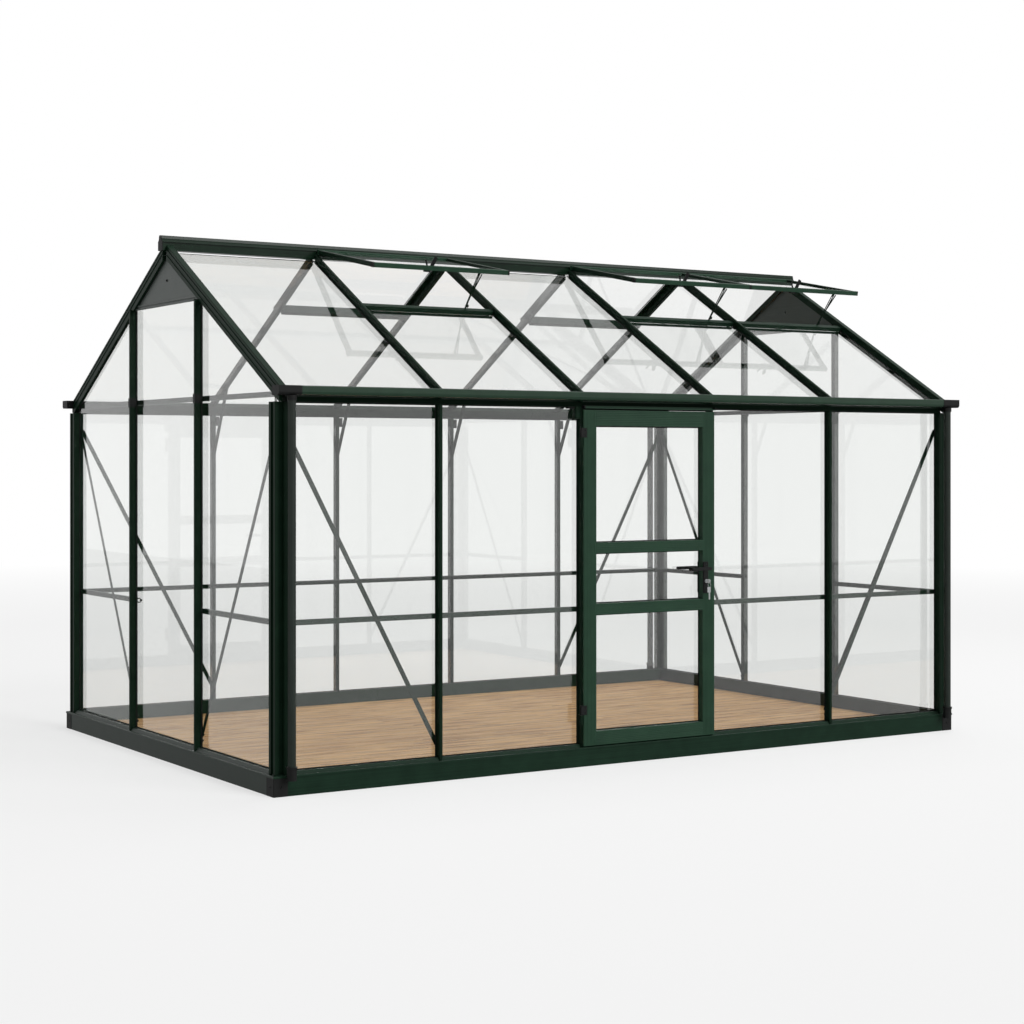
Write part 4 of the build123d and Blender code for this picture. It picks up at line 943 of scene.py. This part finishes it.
# Over the door: a clip and a pad beside the hinge bar's head, a rubber seal between the door
# and the eave, and the drip cap's ends
CLIP = (0.027, 0.028)
CLIP_IN, CLIP_FOOT = 0.016, 1.538
PAD_IN, PAD_LEVEL = 0.014, 1.5865
PAD_ENDS = (0.055, 0.018)
HEAD_SEAL_HALF, HEAD_SEAL_Y, HEAD_SEAL_LEVEL = 0.360, -1.1450, 1.5848
DRIP_HALF, DRIP_END, DRIP_Y, DRIP_LEVEL = 0.3675, 0.3725, -1.1640, 1.590
clip_x = -(BAY / 2 + BAR_HALF + CLIP[0] / 2)
clip_y = -HALF_WIDE + CLIP_IN
clip_row = ((clip_x, clip_y, CLIP_FOOT), (clip_x, clip_y, EAVE), FRONT)
strips(
    "hinge_bar_clip", [clip_row], CLIP, 0.003, GREEN_ALONG["Z"], "frame"
)
pad_row = (*[(clip_x - left, -HALF_WIDE + PAD_IN, PAD_LEVEL) for left in PAD_ENDS], FRONT)
strips("eave_pad", [pad_row], (0.009, 0.020), 0.002, RUBBER, "frame")
seal_row = (
    (-HEAD_SEAL_HALF, HEAD_SEAL_Y, HEAD_SEAL_LEVEL),
    (HEAD_SEAL_HALF, HEAD_SEAL_Y, HEAD_SEAL_LEVEL),
    FRONT,
)
strips("door_head_seal", [seal_row], (0.0125, 0.006), 0.001, RUBBER, "frame")
tip_rows = [
    (*[(side * x, DRIP_Y, DRIP_LEVEL) for x in (DRIP_HALF, DRIP_END)], UP) for side in (-1, 1)
]
strips("drip_cap_tips", tip_rows, (0.021, 0.013), 0.002, NYLON, "frame")

# Floor: pale paper, white to the camera far from the house, and dim in the panes' reflections
PAPER_LEFT, PAPER_NEAR, PAPER_FAR = -9.0, -13.0, 60.0
WHITENED_FROM, WHITENED_TO = 7.0, 16.0
WHITE_NEAR, WHITE_FAR = 0.64, 1.0
MIRRORED_PAPER = 0.5
ROOM_LIGHT, ROOM_SEEN = 0.42, 1.0
WHITE = (1.0, 1.0, 1.0, 1.0)
floor_mesh = bpy.data.meshes.new("studio_floor")
corners = [
    (PAPER_LEFT, PAPER_NEAR, 0.0),
    (PAPER_FAR, PAPER_NEAR, 0.0),
    (PAPER_FAR, PAPER_FAR, 0.0),
    (PAPER_LEFT, PAPER_FAR, 0.0),
]
floor_mesh.from_pydata(corners, [], [(0, 1, 2, 3)])
floor = new_piece("studio_floor", floor_mesh)
paper, tree, place = empty_material("studio_floor_paper")
matt = add(
    tree,
    "ShaderNodeBsdfPrincipled",
    {"Base Color": linear("ebebeb"), "Roughness": 0.95, "Specular IOR Level": 0.0},
)
distance = add(tree, "ShaderNodeVectorMath", {0: place}, operation="LENGTH")
far = add(
    tree,
    "ShaderNodeMapRange",
    {
        "Value": distance.outputs["Value"],
        "From Min": WHITENED_FROM,
        "From Max": WHITENED_TO,
        "To Min": WHITE_NEAR,
        "To Max": WHITE_FAR,
    },
)
path = add(tree, "ShaderNodeLightPath")
seen = add(
    tree,
    "ShaderNodeMath",
    {0: path.outputs["Is Camera Ray"], 1: path.outputs["Is Transmission Ray"]},
    operation="MAXIMUM",
)
share = add(tree, "ShaderNodeMath", {0: far, 1: seen}, operation="MULTIPLY")
white = add(tree, "ShaderNodeEmission", {"Color": WHITE, "Strength": 1.0})
whitened = add(tree, "ShaderNodeMixShader", {0: share, 1: matt, 2: white})
dim = add(tree, "ShaderNodeEmission", {"Color": WHITE, "Strength": MIRRORED_PAPER})
bounced = add(
    tree,
    "ShaderNodeMath",
    {0: path.outputs["Is Glossy Ray"], 1: path.outputs["Is Transmission Ray"]},
    operation="SUBTRACT",
    use_clamp=True,
)
mirrored = add(tree, "ShaderNodeMixShader", {0: bounced, 1: whitened, 2: dim})
add(tree, "ShaderNodeOutputMaterial", {"Surface": mirrored})
floor_mesh.materials.append(paper)

# Room: evenly white where it is seen or mirrored, and a dimmer light on the house
world = bpy.data.worlds.new("pale_room")
bpy.context.scene.world = world
world.use_nodes = True
tree = world.node_tree
tree.nodes.clear()
path = add(tree, "ShaderNodeLightPath")
direct = add(
    tree,
    "ShaderNodeMath",
    {0: path.outputs["Is Camera Ray"], 1: path.outputs["Is Glossy Ray"]},
    operation="MAXIMUM",
)
seen = add(
    tree, "ShaderNodeMath", {0: direct, 1: path.outputs["Is Transmission Ray"]}, operation="MAXIMUM"
)
strength = add(
    tree, "ShaderNodeMapRange", {"Value": seen, "To Min": ROOM_LIGHT, "To Max": ROOM_SEEN}
)
background = add(tree, "ShaderNodeBackground", {"Color": WHITE, "Strength": strength})
add(tree, "ShaderNodeOutputWorld", {"Surface": background})


def lamp(name, kind, power, place, aim, **settings):
    """A lamp at a place, turned towards a point."""
    light = bpy.data.lights.new(name, kind)
    light.energy = power
    for setting, value in settings.items():
        setattr(light, setting, value)
    holder = bpy.data.objects.new(name, light)
    turn = (Vector(aim) - Vector(place)).to_track_quat("-Z", "Y").to_matrix().to_4x4()
    holder.matrix_world = Matrix.Translation(place) @ turn
    bpy.context.scene.collection.objects.link(holder)
    return holder


# Lamps: a soft one from the front right, and one over the roof that no pane mirrors
lamp("front_lamp", "SUN", 1.9, (3.5, -8.0, 5.0), (0.0, 0.0, 0.0), angle=radians(35.0))
roof_lamp = lamp("roof_lamp", "AREA", 260.0, (3.2, 0.0, 8.5), (0.0, 0.0, 2.0), size=5.0)
roof_lamp.visible_glossy = False
roof_lamp.visible_transmission = False

# Camera
camera_data = bpy.data.cameras.new("photo_camera")
camera_data.sensor_width = SENSOR_MM
camera_data.lens = FOCAL_LENGTH_PX / IMAGE_SIZE * SENSOR_MM
camera_data.shift_x = (IMAGE_SIZE / 2 - CENTRE_PX[0]) / IMAGE_SIZE
camera_data.shift_y = (CENTRE_PX[1] - IMAGE_SIZE / 2) / IMAGE_SIZE
camera_data.clip_end = 200.0
camera = bpy.data.objects.new("photo_camera", camera_data)
camera.matrix_world = (
    Matrix.Translation(CAMERA_PLACE)
    @ Matrix.Rotation(-CAMERA_HEADING, 4, "Z")
    @ Matrix.Rotation(radians(90.0), 4, "X")
)
bpy.context.scene.collection.objects.link(camera)
bpy.context.scene.camera = camera

bpy.context.scene.view_settings.view_transform = "Standard"
